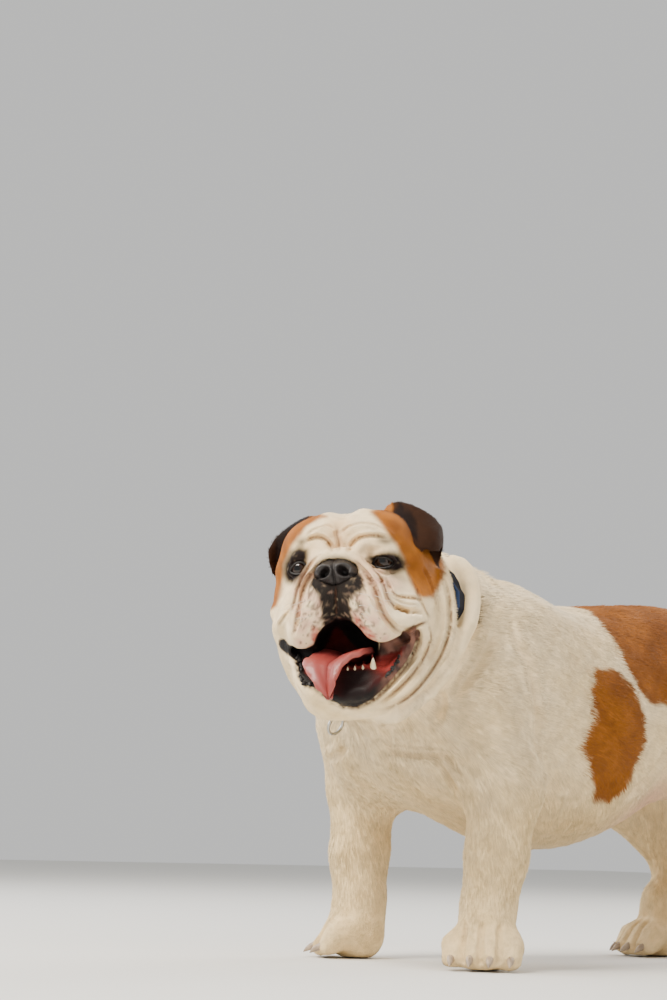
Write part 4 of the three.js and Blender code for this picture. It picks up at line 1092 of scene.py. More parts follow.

# %% [markdown]
# ## Effects that several finishes share
# Hair grain and wet pebbled leather are node groups with named inputs, so that each material only
# sets its own sizes. A group gives out masks and heights; the shader itself stays in the material.

# %% Node groups


def new_group(name, inputs, outputs):
    group = bpy.data.node_groups.new(name, "ShaderNodeTree")
    for label, kind, value in inputs:
        socket = group.interface.new_socket(label, in_out="INPUT", socket_type=kind)
        if value is not None:
            socket.default_value = value
    for label, kind in outputs:
        group.interface.new_socket(label, in_out="OUTPUT", socket_type=kind)
    return group, group.nodes.new("NodeGroupInput"), group.nodes.new("NodeGroupOutput")


def wire(tree, source, target):
    tree.links.new(source, target)


def arithmetic(tree, kind, first, second):
    node = tree.nodes.new("ShaderNodeMath")
    node.operation = kind
    for socket, value in ((node.inputs[0], first), (node.inputs[1], second)):
        if isinstance(value, (int, float)):
            socket.default_value = value
        else:
            wire(tree, value, socket)
    return node.outputs[0]


hair_grain, goes_in, goes_out = new_group(
    "hair_grain",
    [("Place", "NodeSocketVector", None), ("Hairs per metre", "NodeSocketFloat", 700.0),
     ("Clumps per metre", "NodeSocketFloat", 90.0)],
    [("Height", "NodeSocketFloat"), ("Shade", "NodeSocketFloat")],
)
fine_noise = hair_grain.nodes.new("ShaderNodeTexNoise")
fine_noise.inputs["Detail"].default_value = 2
wire(hair_grain, goes_in.outputs["Place"], fine_noise.inputs["Vector"])
wire(hair_grain, goes_in.outputs["Hairs per metre"], fine_noise.inputs["Scale"])
clump_noise = hair_grain.nodes.new("ShaderNodeTexNoise")
clump_noise.inputs["Detail"].default_value = 3
wire(hair_grain, goes_in.outputs["Place"], clump_noise.inputs["Vector"])
wire(hair_grain, goes_in.outputs["Clumps per metre"], clump_noise.inputs["Scale"])
height = arithmetic(hair_grain, "ADD", fine_noise.outputs[0], clump_noise.outputs[0])
wire(hair_grain, height, goes_out.inputs["Height"])
shade_mix = arithmetic(hair_grain, "MULTIPLY", clump_noise.outputs[0], 0.5)
wire(hair_grain, arithmetic(hair_grain, "ADD", shade_mix, 0.75), goes_out.inputs["Shade"])

pebbles, goes_in, goes_out = new_group(
    "pebbled_leather",
    [("Place", "NodeSocketVector", None), ("Pebbles per metre", "NodeSocketFloat", 700.0),
     ("Groove", "NodeSocketFloat", 0.35)],
    [("Height", "NodeSocketFloat"), ("Dry Edge", "NodeSocketFloat")],
)
cells = pebbles.nodes.new("ShaderNodeTexVoronoi")
cells.feature = "DISTANCE_TO_EDGE"
wire(pebbles, goes_in.outputs["Place"], cells.inputs["Vector"])
wire(pebbles, goes_in.outputs["Pebbles per metre"], cells.inputs["Scale"])
dome = arithmetic(pebbles, "MINIMUM", cells.outputs["Distance"], goes_in.outputs["Groove"])
wire(pebbles, dome, goes_out.inputs["Height"])
wire(pebbles, arithmetic(pebbles, "MULTIPLY", dome, 0.5), goes_out.inputs["Dry Edge"])
print("groups:", hair_grain.name, pebbles.name)

# %% [markdown]
# ## Finishes
# The skin under the coat takes its colour from the paint; where it is wet the roughness falls. The
# coat is the same colour with a soft gloss. The nose, lids and lips are pebbled leather.

# %% Materials


def open_material(name, roughness):
    made = bpy.data.materials.new(name)
    made.use_nodes = True
    tree = made.node_tree
    shader = tree.nodes["Principled BSDF"]
    shader.inputs["Roughness"].default_value = roughness
    place = tree.nodes.new("ShaderNodeTexCoord").outputs["Object"]
    return made, tree, shader, place


def use_group(tree, group, place, **values):
    node = tree.nodes.new("ShaderNodeGroup")
    node.node_tree = group
    wire(tree, place, node.inputs["Place"])
    for label, value in values.items():
        node.inputs[label.replace("_", " ")].default_value = value
    return node


def bump(tree, shader, height, strength, distance):
    node = tree.nodes.new("ShaderNodeBump")
    node.inputs["Strength"].default_value = strength
    node.inputs["Distance"].default_value = distance
    wire(tree, height, node.inputs["Height"])
    wire(tree, node.outputs["Normal"], shader.inputs["Normal"])


def attribute(tree, name, output="Color"):
    node = tree.nodes.new("ShaderNodeAttribute")
    node.attribute_name = name
    return node.outputs[output]


def tinted(tree, colour_socket, factor_socket):
    """A colour made lighter or darker by a varying factor."""
    node = tree.nodes.new("ShaderNodeVectorMath")
    node.operation = "SCALE"
    wire(tree, colour_socket, node.inputs[0])
    wire(tree, factor_socket, node.inputs["Scale"])
    return node.outputs[0]


def coat_material(name, roughness, hairs, strength):
    made, tree, shader, place = open_material(name, roughness)
    grain = use_group(tree, hair_grain, place, Hairs_per_metre=hairs, Clumps_per_metre=90)
    shaded = tinted(tree, attribute(tree, "coat_paint"), grain.outputs["Shade"])
    wire(tree, shaded, shader.inputs["Base Color"])
    shader.inputs["Specular IOR Level"].default_value = 0.14
    bump(tree, shader, grain.outputs["Height"], strength, 0.001)
    return made, tree, shader


skin_finish, tree, shader = coat_material("bulldog_skin", 0.75, 750, 0.5)
dryness = arithmetic(tree, "MULTIPLY", attribute(tree, "wet", "Fac"), -0.3)
wire(tree, arithmetic(tree, "ADD", dryness, 0.75), shader.inputs["Roughness"])
coat_finish, _, _ = coat_material("short_coat", 0.6, 1200, 0.1)


def leather_material(name, code, roughness, pebbles_per_metre, strength, second):
    made, tree, shader, place = open_material(name, roughness)
    skin_cells = use_group(tree, pebbles, place, Pebbles_per_metre=pebbles_per_metre)
    spread = tree.nodes.new("ShaderNodeTexNoise")
    spread.inputs["Scale"].default_value = 120
    wire(tree, place, spread.inputs["Vector"])
    mix = tree.nodes.new("ShaderNodeMix")
    mix.data_type = "RGBA"
    wire(tree, spread.outputs[0], mix.inputs["Factor"])
    mix.inputs["A"].default_value = (*linear(code), 1)
    mix.inputs["B"].default_value = (*linear(second), 1)
    wire(tree, mix.outputs["Result"], shader.inputs["Base Color"])
    varied = arithmetic(tree, "MULTIPLY", spread.outputs[0], 0.25)
    wire(tree, arithmetic(tree, "ADD", varied, roughness - 0.1), shader.inputs["Roughness"])
    bump(tree, shader, skin_cells.outputs["Height"], strength, 0.0006)
    return made


nose_finish = leather_material("nose_leather", "161313", 0.38, 850, 0.8, "2b2423")
lid_finish = leather_material("lid_and_lip_leather", "0b0909", 0.55, 1200, 0.3, "1a1413")
claw_finish = leather_material("claw_horn", "4a3b33", 0.35, 300, 0.1, "cdb79c")
tooth_finish = leather_material("tooth_enamel", "e9dfc4", 0.2, 300, 0.05, "cdb987")
print("finishes:", len(bpy.data.materials))

# %% [markdown]
# ## Putting a piece in place
# Each finished piece takes one material, rides on the body and hides the solid that it
# replaces.

# %% Settle a piece


def settle(piece, material, slot, *nodes, smooth=True):
    piece.data.materials.clear()
    piece.data.materials.append(material)
    if smooth:
        piece.data.polygons.foreach_set("use_smooth", np.ones(len(piece.data.polygons), bool))
    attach(piece, BODY)
    if nodes:
        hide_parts(*nodes)
    return piece


settle(skin, skin_finish, "coat_white", *FLESH)

# %% [markdown]
# ## Nose leather
# The nose is a broad pad with a flat front, two comma nostrils that open to the sides and a groove down the
# middle. It starts as a fine ball, flattened in front, and its points are then pressed in by place.

# %% Nose
NOSE_SEAT = np.array([0, -89, -11])
NOSE_REACH = np.array([24, 13, 15])


def shaped_ball(name, detail, seat, shape):
    bpy.ops.object.select_all(action="DESELECT")
    bpy.ops.mesh.primitive_ico_sphere_add(subdivisions=detail, radius=1)
    piece = bpy.context.active_object
    piece.name = name
    local = shape(points_of(piece.data))
    place_points(piece.data, out_of_head(local + seat))
    return piece


def nose_shape(ball):
    x, y, z = ball.T
    square = 1 / np.maximum(1e-6, (np.abs(x) ** 2.5 + np.abs(z) ** 2.5 + np.abs(y) ** 2.5)) ** (1 / 2.5)
    form = np.column_stack([x, y, z]) * square[:, None] * NOSE_REACH
    fx, fz = form[:, 0], form[:, 2]
    form[:, 0] *= 1 - 0.30 * ramp(fz, -2, 15) - 0.20 * ramp(-fz, 7, 15)
    form[:, 1] += 3.0 * ramp(fz, 4, 15)
    front = ramp(-y, 0, 0.35)
    form[:, 1] += 3.4 * np.exp(-((fx / 1.3) ** 2)) * front * (0.35 + 0.65 * ramp(-fz, -8, 6))
    form[:, 2] -= 1.4 * np.exp(-((fx / 5) ** 2)) * ramp(z, 0.3, 0.9)
    for hand in (-1, 1):
        hole = np.hypot((fx - hand * 9.5) / 5.0, (fz + 2.0 + 0.3 * (hand * fx - 9)) / 4.4)
        slit = np.hypot((fx - hand * 17.0) / 5.5, (fz + 6.5) / 1.4)
        wing = np.hypot((fx - hand * 11) / 9.5, (fz + 1.0) / 8.4)
        form[:, 1] += front * (11.0 * np.exp(-(hole ** 4)) + 4.5 * np.exp(-(slit ** 2)))
        form[:, 1] -= front * 2.8 * np.exp(-(((wing - 0.85) / 0.32) ** 2))
    return form


nose = shaped_ball("nose_leather", 6, NOSE_SEAT, nose_shape)
settle(nose, nose_finish, "nose_leather", "nose")
print("nose faces:", len(nose.data.polygons))

# %% [markdown]
# ## Eyes and lids
# An eyeball is a ball with a clear bulge in front of a brown iris. The colours are painted by the angle from
# the line of sight, so the ball's pole faces that way and its rings follow the iris. A black rim closes
# the lids on the ball in the shape of the opening, and a thin shell carries each lid outwards from there.

# %% Eyeballs
EYE_LOOK = np.array([0.10, -0.99, -0.03])
IRIS_ANGLE = 33
PUPIL_ANGLE = 13
IRIS_BROWN = linear("1c0e08")
IRIS_EDGE = linear("140a06")
EYE_WHITE = linear("4a362c")
eye_finish, tree, shader, place = open_material("eye", 0.06)
wire(tree, attribute(tree, "eye_paint"), shader.inputs["Base Color"])
shader.inputs["Specular IOR Level"].default_value = 0.3
shader.inputs["Coat Weight"].default_value = 0.35
shader.inputs["Coat Roughness"].default_value = 0.03

for hand, sign in HANDS:
    bpy.ops.object.select_all(action="DESELECT")
    bpy.ops.mesh.primitive_uv_sphere_add(segments=64, ring_count=48, radius=1)
    eyeball = bpy.context.active_object
    eyeball.name = "eyeball_" + hand
    ball = points_of(eyeball.data)
    sight = Vector((EYE_LOOK[0] * sign, EYE_LOOK[1], EYE_LOOK[2])).normalized()
    turn = np.array(Vector((0, 0, 1)).rotation_difference(sight).to_matrix())
    angle = np.degrees(np.arccos(np.clip(ball[:, 2], -1, 1)))
    bulge = EYE_RADIUS + 1.0 * (1 - ramp(angle, 18, 38))
    seat = np.array([EYE_SEAT[0] * sign, EYE_SEAT[1], EYE_SEAT[2]])
    place_points(eyeball.data, out_of_head(ball @ turn.T * bulge[:, None] + seat))
    rays = 0.8 + 0.35 * np.sin(np.arctan2(ball[:, 1], ball[:, 0]) * 23)
    paint = np.tile(EYE_WHITE, (len(ball), 1))
    paint = blend(paint, IRIS_EDGE, 1 - ramp(angle, IRIS_ANGLE, IRIS_ANGLE + 4))
    paint = blend(paint, IRIS_BROWN * 1.6, (1 - ramp(angle, IRIS_ANGLE - 7, IRIS_ANGLE)) * rays)
    paint = blend(paint, np.array([0.002, 0.002, 0.002]), 1 - ramp(angle, PUPIL_ANGLE, PUPIL_ANGLE + 3))
    paint_attribute(eyeball.data, "eye_paint", paint)
    settle(eyeball, eye_finish, "eye", "eye_" + hand)

# %% Lid rims and eyelids
RIM_STEPS = 48
RIM_RADIUS = 1.35
LID_REACH = 0.62
LID_WALL = 0.0009
for hand, sign in HANDS:
    ring = smooth_path(LID_OPENING[hand] + LID_OPENING[hand][:2], RIM_STEPS + 6)[:RIM_STEPS]
    seat = np.array([EYE_SEAT[0] * sign, EYE_SEAT[2]])
    path = []
    for x, z in ring:
        off = np.array([x, z]) - seat
        out = math.sqrt(max(1, (EYE_RADIUS + 1.1) ** 2 - off @ off))
        path.append(out_of_head([x, EYE_SEAT[1] - out, z])[0])
    rim = tube("lid_rim_" + hand, path, [RIM_RADIUS * MM] * len(path), closed=True)
    settle(rim, lid_finish, "mouth_lining")
    bpy.ops.object.select_all(action="DESELECT")
    bpy.ops.mesh.primitive_grid_add(x_subdivisions=RIM_STEPS, y_subdivisions=9, size=2)
    lid = bpy.context.active_object
    lid.name = "eyelids_" + hand
    flat = points_of(lid.data)
    turn = (flat[:, 0] / 2 + 0.5) * RIM_STEPS
    spread = flat[:, 1] / 2 + 0.5
    lower = np.floor(turn).astype(int) % RIM_STEPS
    part = (turn - np.floor(turn))[:, None]
    opening = ring[lower] * (1 - part) + ring[(lower + 1) % RIM_STEPS] * part - seat
    wide = opening * (1 + LID_REACH * spread)[:, None]
    swell = 1.6 * np.sin(np.clip(spread * 1.3, 0, 1) * math.pi)
    proud = EYE_RADIUS + 0.5 + swell + 0.8 * (opening[:, 1] > 0)
    out = np.sqrt(np.clip(proud ** 2 - (wide ** 2).sum(axis=1), 4, None))
    shape = np.column_stack([wide[:, 0] + seat[0], EYE_SEAT[1] - out, wide[:, 1] + seat[1]])
    place_points(lid.data, out_of_head(shape))
    merge = (bpy.ops.mesh.remove_doubles, {"threshold": 0.00002})
    edit_whole(lid, merge, (bpy.ops.mesh.normals_make_consistent, {"inside": False}))
    if (normals_of(lid.data) @ head_axes[:, 1]).mean() > 0:
        lid.data.flip_normals()
    apply_modifier(lid, "wall", "SOLIDIFY", thickness=LID_WALL, offset=-1)
    lid_paint, _ = coat_paint(points_of(lid.data))
    paint_attribute(lid.data, "coat_paint", lid_paint)
    number_attribute(lid.data, "wet", np.full(len(lid.data.vertices), 0.3))
    settle(lid, skin_finish, "coat_white")
print("eyes and lids done")

# %% [markdown]
# ## Tongue
# The tongue is a long sheet of muscle that rises from the floor of the mouth, folds over the lower lip and
# hangs to the right. A grid is bent along rows of points, grooved down the middle and given its thickness.

# %% Tongue
TONGUE_ROWS = [
    [(-22, -22, -90), (0, -22, -96), (24, -22, -90)],
    [(-27, -52, -89), (0, -52, -98), (27, -52, -91)],
    [(-34, -84, -100), (-6, -82, -104), (23, -84, -98)],
    [(-38, -98, -108), (-11, -97, -111), (11, -102, -107)],
    [(-27, -107, -126), (-11, -104, -128), (1, -109, -124)],
    [(-16, -109, -143), (-9, -106, -147), (-3, -109, -141)],
]
TONGUE_THICK = 6.4
bpy.ops.object.select_all(action="DESELECT")
bpy.ops.mesh.primitive_grid_add(x_subdivisions=28, y_subdivisions=48, size=2)
tongue = bpy.context.active_object
tongue.name = "tongue_flesh"
flat = points_of(tongue.data)
across = flat[:, 0] / 2 + 0.5
along = flat[:, 1] / 2 + 0.5
fine_rows = np.array([smooth_path(row, 61) for row in TONGUE_ROWS])
bent = np.empty_like(flat)
for k in range(61):
    column = smooth_path(fine_rows[:, k], 121)
    mine = np.nonzero(np.abs(across - k / 60) <= 1 / 120 + 1e-6)[0]
    bent[mine] = column[np.clip((along[mine] * 120).round().astype(int), 0, 120)]
edge = np.abs(across - 0.5) * 2
tipward = ramp(along, 0.86, 1)
narrow = 1 - tipward * (1 - np.sqrt(np.clip(1 - ((along - 0.86) / 0.145) ** 2, 0, 1)))
centre = np.array([smooth_path(fine_rows[:, 30], 121)[min(120, int(round(t * 120)))] for t in along])
bent = centre + (bent - centre) * narrow[:, None]
place_points(tongue.data, out_of_head(bent))
sheet_normals = normals_of(tongue.data)
facing = -1 if (sheet_normals @ head_axes[:, 2]).mean() < 0 else 1
sheet_normals *= facing
dip = 2.2 * np.exp(-((edge / 0.14) ** 2)) * ramp(along, 0.1, 0.3) * (1 - ramp(along, 0.9, 1.0))
lift = 2.4 * np.exp(-(((edge - 0.62) / 0.3) ** 2))
ruffle = 0.9 * np.sin(along * 40) * ramp(edge, 0.75, 1)
place_points(tongue.data, points_of(tongue.data) + sheet_normals * ((lift - dip + ruffle) * MM)[:, None])
groove_shade = np.exp(-((edge / 0.10) ** 2))
tongue.data.polygons.foreach_set("use_smooth", np.ones(len(tongue.data.polygons), bool))
TONGUE_PINK = linear("8f3c37")
TONGUE_SHADE = linear("6b2226")
TONGUE_RIM_HIGHLIGHT = linear("aa544c")
paint = np.tile(TONGUE_PINK, (len(flat), 1))
# Painted shade down the groove in the middle.
paint = blend(paint, TONGUE_SHADE, groove_shade * 0.7)
# Painted highlight along the curled edges.
paint = blend(paint, TONGUE_RIM_HIGHLIGHT, ramp(edge, 0.82, 1.0) * 0.8)
# Painted shade on the back of the tongue, inside the mouth.
paint = blend(paint, TONGUE_SHADE, (1 - ramp(along, 0.15, 0.5)) * 0.7)
paint_attribute(tongue.data, "tongue_paint", paint)
apply_modifier(tongue, "thickness", "SOLIDIFY", thickness=TONGUE_THICK * MM, offset=0)
apply_modifier(tongue, "round", "SUBSURF", levels=1, render_levels=1)
edit_whole(tongue, (bpy.ops.mesh.normals_make_consistent, {"inside": False}))

# %% The moist surface of the tongue
tongue_finish, tree, shader, place = open_material("tongue", 0.4)
papillae = use_group(tree, pebbles, place, Pebbles_per_metre=900, Groove=0.3)
wire(tree, attribute(tree, "tongue_paint"), shader.inputs["Base Color"])
shader.inputs["Subsurface Weight"].default_value = 0.15
shader.inputs["Subsurface Scale"].default_value = 0.004
shader.inputs["Coat Weight"].default_value = 0.2
bump(tree, shader, papillae.outputs["Height"], 0.5, 0.0006)
settle(tongue, tongue_finish, "tongue", "tongue")
print("tongue faces:", len(tongue.data.polygons))

# %% [markdown]
# ## Teeth, lip edges and claws
# Teeth and claws are tapered horns, so each is a short bent tube whose thickness falls along it. The lower
# lip of the breed ends in a row of soft black points, small beads pressed into the lip.

# %% Teeth
TEETH = [(4.5, -75, 7, 3.0), (12, -74, 7.5, 3.2), (20, -72, 8, 3.4), (29, -66, 15.5, 5.0)]
for hand in (1, -1):
    for n, (x, y, rise, width) in enumerate(TEETH):
        steps = np.linspace(0, 1, 12)
        path = [
            (hand * (x + 1.5 * t * t * (n == 3)), y - 1.0 * t - 0.12 * rise * t, -126 + (rise + 9) * t)
            for t in steps
        ]
        radii = width * MM * np.clip(1 - steps ** 2.6 * 0.92, 0.06, 1)
        name = "tooth_{}_{}".format("left" if hand > 0 else "right", n + 1)
        settle(tube(name, out_of_head(path), radii), tooth_finish, "tooth")

# %% Lip beads along the lip edges
LIP_EDGES = [
    [(385.9, 676), (391.2, 670.7), (395.6, 664.1), (398.9, 655.8)],
    [(298.4, 654.5), (300.7, 660.8), (301.7, 669.1)],
    [(300, 675.7), (303.7, 681.5), (308.3, 684.3), (313.3, 681)],
]
beads = []
for row in LIP_EDGES:
    for k, place in enumerate(smooth_path(row, 11)):
        seat = seen_seat(skin_tree, place)
        if seat is None:
            continue
        size = (1.2 + 0.5 * (k % 3)) * MM
        outwards = head_axes @ np.array([chance.normal(0, 0.5), -1.6, -0.9 + 0.5 * (k % 2)])
        path = [seat + outwards * size * t for t in np.linspace(-0.6, 1.3, 7)]
        radii = size * np.sqrt(np.clip(1 - np.linspace(-0.9, 0.98, 7) ** 2, 0.01, 1))
        beads.append(tube("lip_bead", path, radii))
settle(join_all(beads, "lip_beads"), lid_finish, "mouth_lining")

# %% Claws
CLAW_LENGTH = 19
CLAW_RADIUS = 4.6
for kind in PAWS:
    for hand in SIDES:
        for n, (side_step, lead) in enumerate(TOES):
            root_x = side_step * TOE_PITCH * PAWS[kind]["width"] * TOE_FAN
            root_y = -36 + lead - 12 + 8
            steps = np.linspace(0, 1, 14)
            droop = np.radians(12 + 34 * steps)
            reach = np.concatenate([[0], np.cumsum(np.cos(droop[:-1]))]) * CLAW_LENGTH / 13
            fall = np.concatenate([[0], np.cumsum(np.sin(droop[:-1]))]) * CLAW_LENGTH / 13
            path = np.column_stack([np.full(14, root_x), root_y - reach, 14.5 - fall])
            radii = CLAW_RADIUS * MM * np.clip(1 - steps ** 2.2, 0.05, 1) ** 0.8
            name = "claw_{}_{}_{}".format(kind, hand, n + 1)
            settle(tube(name, out_of_paw(kind, hand, path), radii), claw_finish, "claw")
print("teeth:", len(TEETH) * 2, "claws:", 16)

# %% Whiskers
whisker_finish = plain_material("whisker", "d8d0c2", 0.45)
whiskers = []
for hand in (1, -1):
    for k in range(11):
        x = hand * (26 + 8 * (k % 4) + chance.uniform(-2, 2))
        z = -40 - 9 * (k // 4) + chance.uniform(-3, 3)
        seat = face_seat(skin_tree, x, z)
        if seat is None:
            continue
        sideways = hand * chance.uniform(0.7, 1)
        forwards = -chance.uniform(0.5, 0.9)
        way = head_axes @ np.array([sideways, forwards, chance.uniform(-0.5, 0.1)])
        length = chance.uniform(8, 16) * MM
        steps = np.linspace(0, 1, 7)
        path = [seat + way * length * t - head_axes[:, 2] * length * 0.35 * t * t for t in steps]
        whiskers.append(tube("whisker", path, 0.28 * MM * (1 - 0.8 * steps), roundness=1))
settle(join_all(whiskers, "whiskers"), whisker_finish, "claw")

# %% [markdown]
# ## Collar
# The collar is a flat woven strap, mostly sunk among the rolls of the neck. The strap solid already has the
# right run, so a copy of it gets rounded edges and its own map, along and across, for the weave. At the
# throat it is drawn in under the folds, and behind the near cheek a short stretch of it stays in sight.
# The ring and the buckle keep their solids' places.

# %% Collar strap and fittings
collar = merged_copy("collar_strap", "collar")
apply_modifier(collar, "rounded edge", "BEVEL", width=0.0009, segments=2, angle_limit=math.radians(50))
strap_side = np.array([1, 0, 0]) - COLLAR_AXIS * COLLAR_AXIS[0]
strap_side /= np.linalg.norm(strap_side)
strap_up = np.cross(strap_side, COLLAR_AXIS)
around = points_of(collar.data) - COLLAR_MIDDLE
loops = np.empty(len(collar.data.loops), dtype=np.int64)
collar.data.loops.foreach_get("vertex_index", loops)
turn = np.arctan2(around @ strap_up, around @ strap_side)[loops]
face_sizes = [len(face.vertices) for face in collar.data.polygons]
face_of_loop = np.repeat(np.arange(len(face_sizes)), face_sizes)
first = turn[np.concatenate([[0], np.nonzero(np.diff(face_of_loop))[0] + 1])][face_of_loop]
turn -= 2 * math.pi * ((turn - first > math.pi) * 1 - (turn - first < -math.pi) * 1)
neck_out = around / np.linalg.norm(around, axis=1)[:, None]
height_share = around @ strap_up / np.abs(around @ strap_up).max()
strap_x, strap_y = seen_places(points_of(collar.data))
shown = ramp(strap_y, 576, 584) * (1 - ramp(strap_y, 614, 624)) * (around[:, 0] > 0)
sunk = 1 - ramp(height_share, -0.35, 0.1)
sunk = np.maximum(sunk, (strap_x > 425) * (around[:, 0] > 0) * ramp(strap_y, 535, 548))
sunk = sunk * (1 - shown) - 0.35 * shown
place_points(collar.data, points_of(collar.data) - neck_out * (sunk * 5.5 * MM)[:, None])
strap_map = collar.data.uv_layers.new(name="strap")
strap_map.data.foreach_set("uv", np.column_stack([turn * 0.1, (around @ COLLAR_AXIS)[loops]]).ravel())

web_finish, tree, shader, place = open_material("woven_strap", 0.8)
strap_uv = tree.nodes.new("ShaderNodeUVMap")
strap_uv.uv_map = "strap"
apart = tree.nodes.new("ShaderNodeSeparateXYZ")
wire(tree, strap_uv.outputs["UV"], apart.inputs[0])
ribs = arithmetic(tree, "SINE", arithmetic(tree, "MULTIPLY", apart.outputs["X"], 3600), 0)
rows = arithmetic(tree, "SINE", arithmetic(tree, "MULTIPLY", apart.outputs["Y"], 4200), 0)
weave = arithmetic(tree, "MULTIPLY", ribs, rows)
edge_stripe = arithmetic(tree, "GREATER_THAN", arithmetic(tree, "ABSOLUTE", apart.outputs["Y"], 0), 0.0095)
mix = tree.nodes.new("ShaderNodeMix")
mix.data_type = "RGBA"
wire(tree, edge_stripe, mix.inputs["Factor"])
mix.inputs["A"].default_value = (*linear("0b1020"), 1)
mix.inputs["B"].default_value = (*linear("1a335c"), 1)
wire(tree, mix.outputs["Result"], shader.inputs["Base Color"])
bump(tree, shader, weave, 0.5, 0.0005)
settle(collar, web_finish, "webbing", "collar", smooth=False)

metal_finish, tree, shader, place = open_material("nickel_fitting", 0.3)
shader.inputs["Metallic"].default_value = 1
shader.inputs["Base Color"].default_value = (*linear("b4b2ac"), 1)
scuffs = use_group(tree, hair_grain, place, Hairs_per_metre=2500, Clumps_per_metre=300)
bump(tree, shader, scuffs.outputs["Height"], 0.08, 0.0003)
for node in ("collar_buckle", "collar_ring"):
    fitting = merged_copy(node + "_metal", node)
    apply_modifier(fitting, "soft edges", "BEVEL", width=0.0005, segments=2)
    bpy.ops.object.shade_smooth_by_angle(angle=math.radians(40))
    settle(fitting, metal_finish, "fitting", node, smooth=False)
print("collar done")

# %% [markdown]
# ## The coat
# A bulldog's coat is short, fine and glossy and lies close: backwards from the nose over the face,
# along the body and down the legs. Hair curves would be lost in an export, so each tuft is a thin solid
# sliver of four faces. They overlap like shingles, each lifted off the skin by a small, varying angle.

# %% How the coat lies


def hair_way(points, normals):
    """The way the hair lies at each place."""
    local = into_head(points)
    on_head = ((1 - ramp(behind_collar(points), -40, 10)) * ramp(points[:, 2], 0.22, 0.27))[:, None]
    from_nose = local - np.array([0, -92, 2])
    face_way = from_nose / np.linalg.norm(from_nose, axis=1)[:, None] + np.array([0, 0.55, -0.1])
    face_way = face_way @ head_axes.T
    leg = 1 - ramp(points[:, 2], 0.13, 0.26)
    body_way = np.column_stack([
        np.sign(points[:, 0]) * 0.12 * (1 - leg),
        1 - 0.75 * leg,
        -0.25 - 1.2 * leg - 0.5 * ramp(-points[:, 1], 0.15, 0.32),
    ])
    foot = (1 - ramp(points[:, 2], 0.02, 0.06))[:, None]
    body_way = body_way * (1 - foot) + np.column_stack([
        np.sign(points[:, 0]) * 0.3, np.full(len(points), -0.7), np.full(len(points), -0.5)]) * foot
    way = body_way * (1 - on_head) + face_way * on_head
    way += 0.22 * np.column_stack([ripple(points, 0.05, seed) for seed in (21, 22, 23)])
    way -= normals * np.einsum("ij,ij->i", way, normals)[:, None]
    return way / np.maximum(np.linalg.norm(way, axis=1), 1e-6)[:, None]


def hair_length(points):
    local = into_head(points)
    on_head = (1 - ramp(behind_collar(points), -30, 10)) * ramp(points[:, 2], 0.22, 0.26)
    face = 1.6 + 2.8 * ramp(local[:, 1], -72, 0)
    feet = 1 - ramp(points[:, 2], 0.03, 0.12)
    behind = behind_collar(points)
    body = 8.5 - 4.5 * feet + 2.0 * ramp(behind, -10, 30) * (1 - ramp(behind, 60, 130))
    return body + (face - body) * on_head


# %% Map of the skin for the coat
MAP_FACES = 9000
coarse = skin.copy()
coarse.data = skin.data.copy()
bpy.context.scene.collection.objects.link(coarse)
coarse.parent = None
apply_modifier(coarse, "coarse", "DECIMATE", ratio=MAP_FACES / len(coarse.data.polygons))
unwrap = {"angle_limit": math.radians(66), "island_margin": 0.004}
edit_whole(coarse, (bpy.ops.uv.smart_project, unwrap))
coarse.data.calc_loop_triangles()
coarse_points = points_of(coarse.data)
map_values = np.empty(len(coarse.data.loops) * 2)
coarse.data.uv_layers.active.data.foreach_get("uv", map_values)
map_values = map_values.reshape(-1, 2)
coarse_faces = [(tuple(t.vertices), tuple(t.loops)) for t in coarse.data.loop_triangles]
coarse_tree = BVHTree.FromPolygons([tuple(p) for p in coarse_points], [f[0] for f in coarse_faces])
face_corners = np.empty(len(skin.data.polygons) * 3, dtype=np.int64)
skin.data.polygons.foreach_get("vertices", face_corners)
face_corners = face_corners.reshape(-1, 3)
skin_points = points_of(skin.data)
skin_normals = normals_of(skin.data)
face_middles = skin_points[face_corners].mean(axis=1)
face_map = np.empty((len(face_middles), 2))
for i, place in enumerate(face_middles):
    hit, _, n, _ = coarse_tree.find_nearest(Vector(place))
    corners, corner_loops = coarse_faces[n]
    a, b, c = coarse_points[list(corners)]
    whole = max(1e-12, np.linalg.norm(np.cross(b - a, c - a)))
    place = np.array(hit)
    near_b = np.linalg.norm(np.cross(place - a, c - a)) / whole
    near_c = np.linalg.norm(np.cross(place - a, b - a)) / whole
    weights = np.clip([1 - near_b - near_c, near_b, near_c], 0, 1)
    face_map[i] = weights @ map_values[list(corner_loops)]
bpy.data.objects.remove(coarse)
print("mapped faces:", len(face_map))

# %% Where tufts grow
TUFTS_PER_PIECE = 49000
COAT_PIECES = 6
a, b, c = (skin_points[face_corners[:, k]] for k in range(3))
face_area = np.linalg.norm(np.cross(b - a, c - a), axis=1) / 2
local = into_head(face_middles)
on_head = (1 - ramp(behind_collar(face_middles), -30, 0)) * ramp(face_middles[:, 2], 0.22, 0.26)
density = 1 + 1.8 * on_head + 0.8 * (1 - ramp(face_middles[:, 2], 0.03, 0.1))
seen_x, seen_y = seen_places(face_middles)
bare = inside_outline(seen_x, seen_y, MOUTH_OUTLINE, 0.5) * (local[:, 1] < -14) * on_head
bare = np.maximum(bare, in_mouth(*local.T) * on_head)
bare = np.maximum(bare, (np.linalg.norm((local - NOSE_SEAT) / (NOSE_REACH + 1.5), axis=1) < 1))
for sign in (1, -1):
    eye_gap = np.linalg.norm(local - np.array([EYE_SEAT[0] * sign, EYE_SEAT[1], EYE_SEAT[2]]), axis=1)
    bare = np.maximum(bare, eye_gap < EYE_RADIUS + 2.2)
bare = np.maximum(bare, face_middles[:, 2] < 0.0025)
under_collar = np.abs(behind_collar(face_middles)) < 11
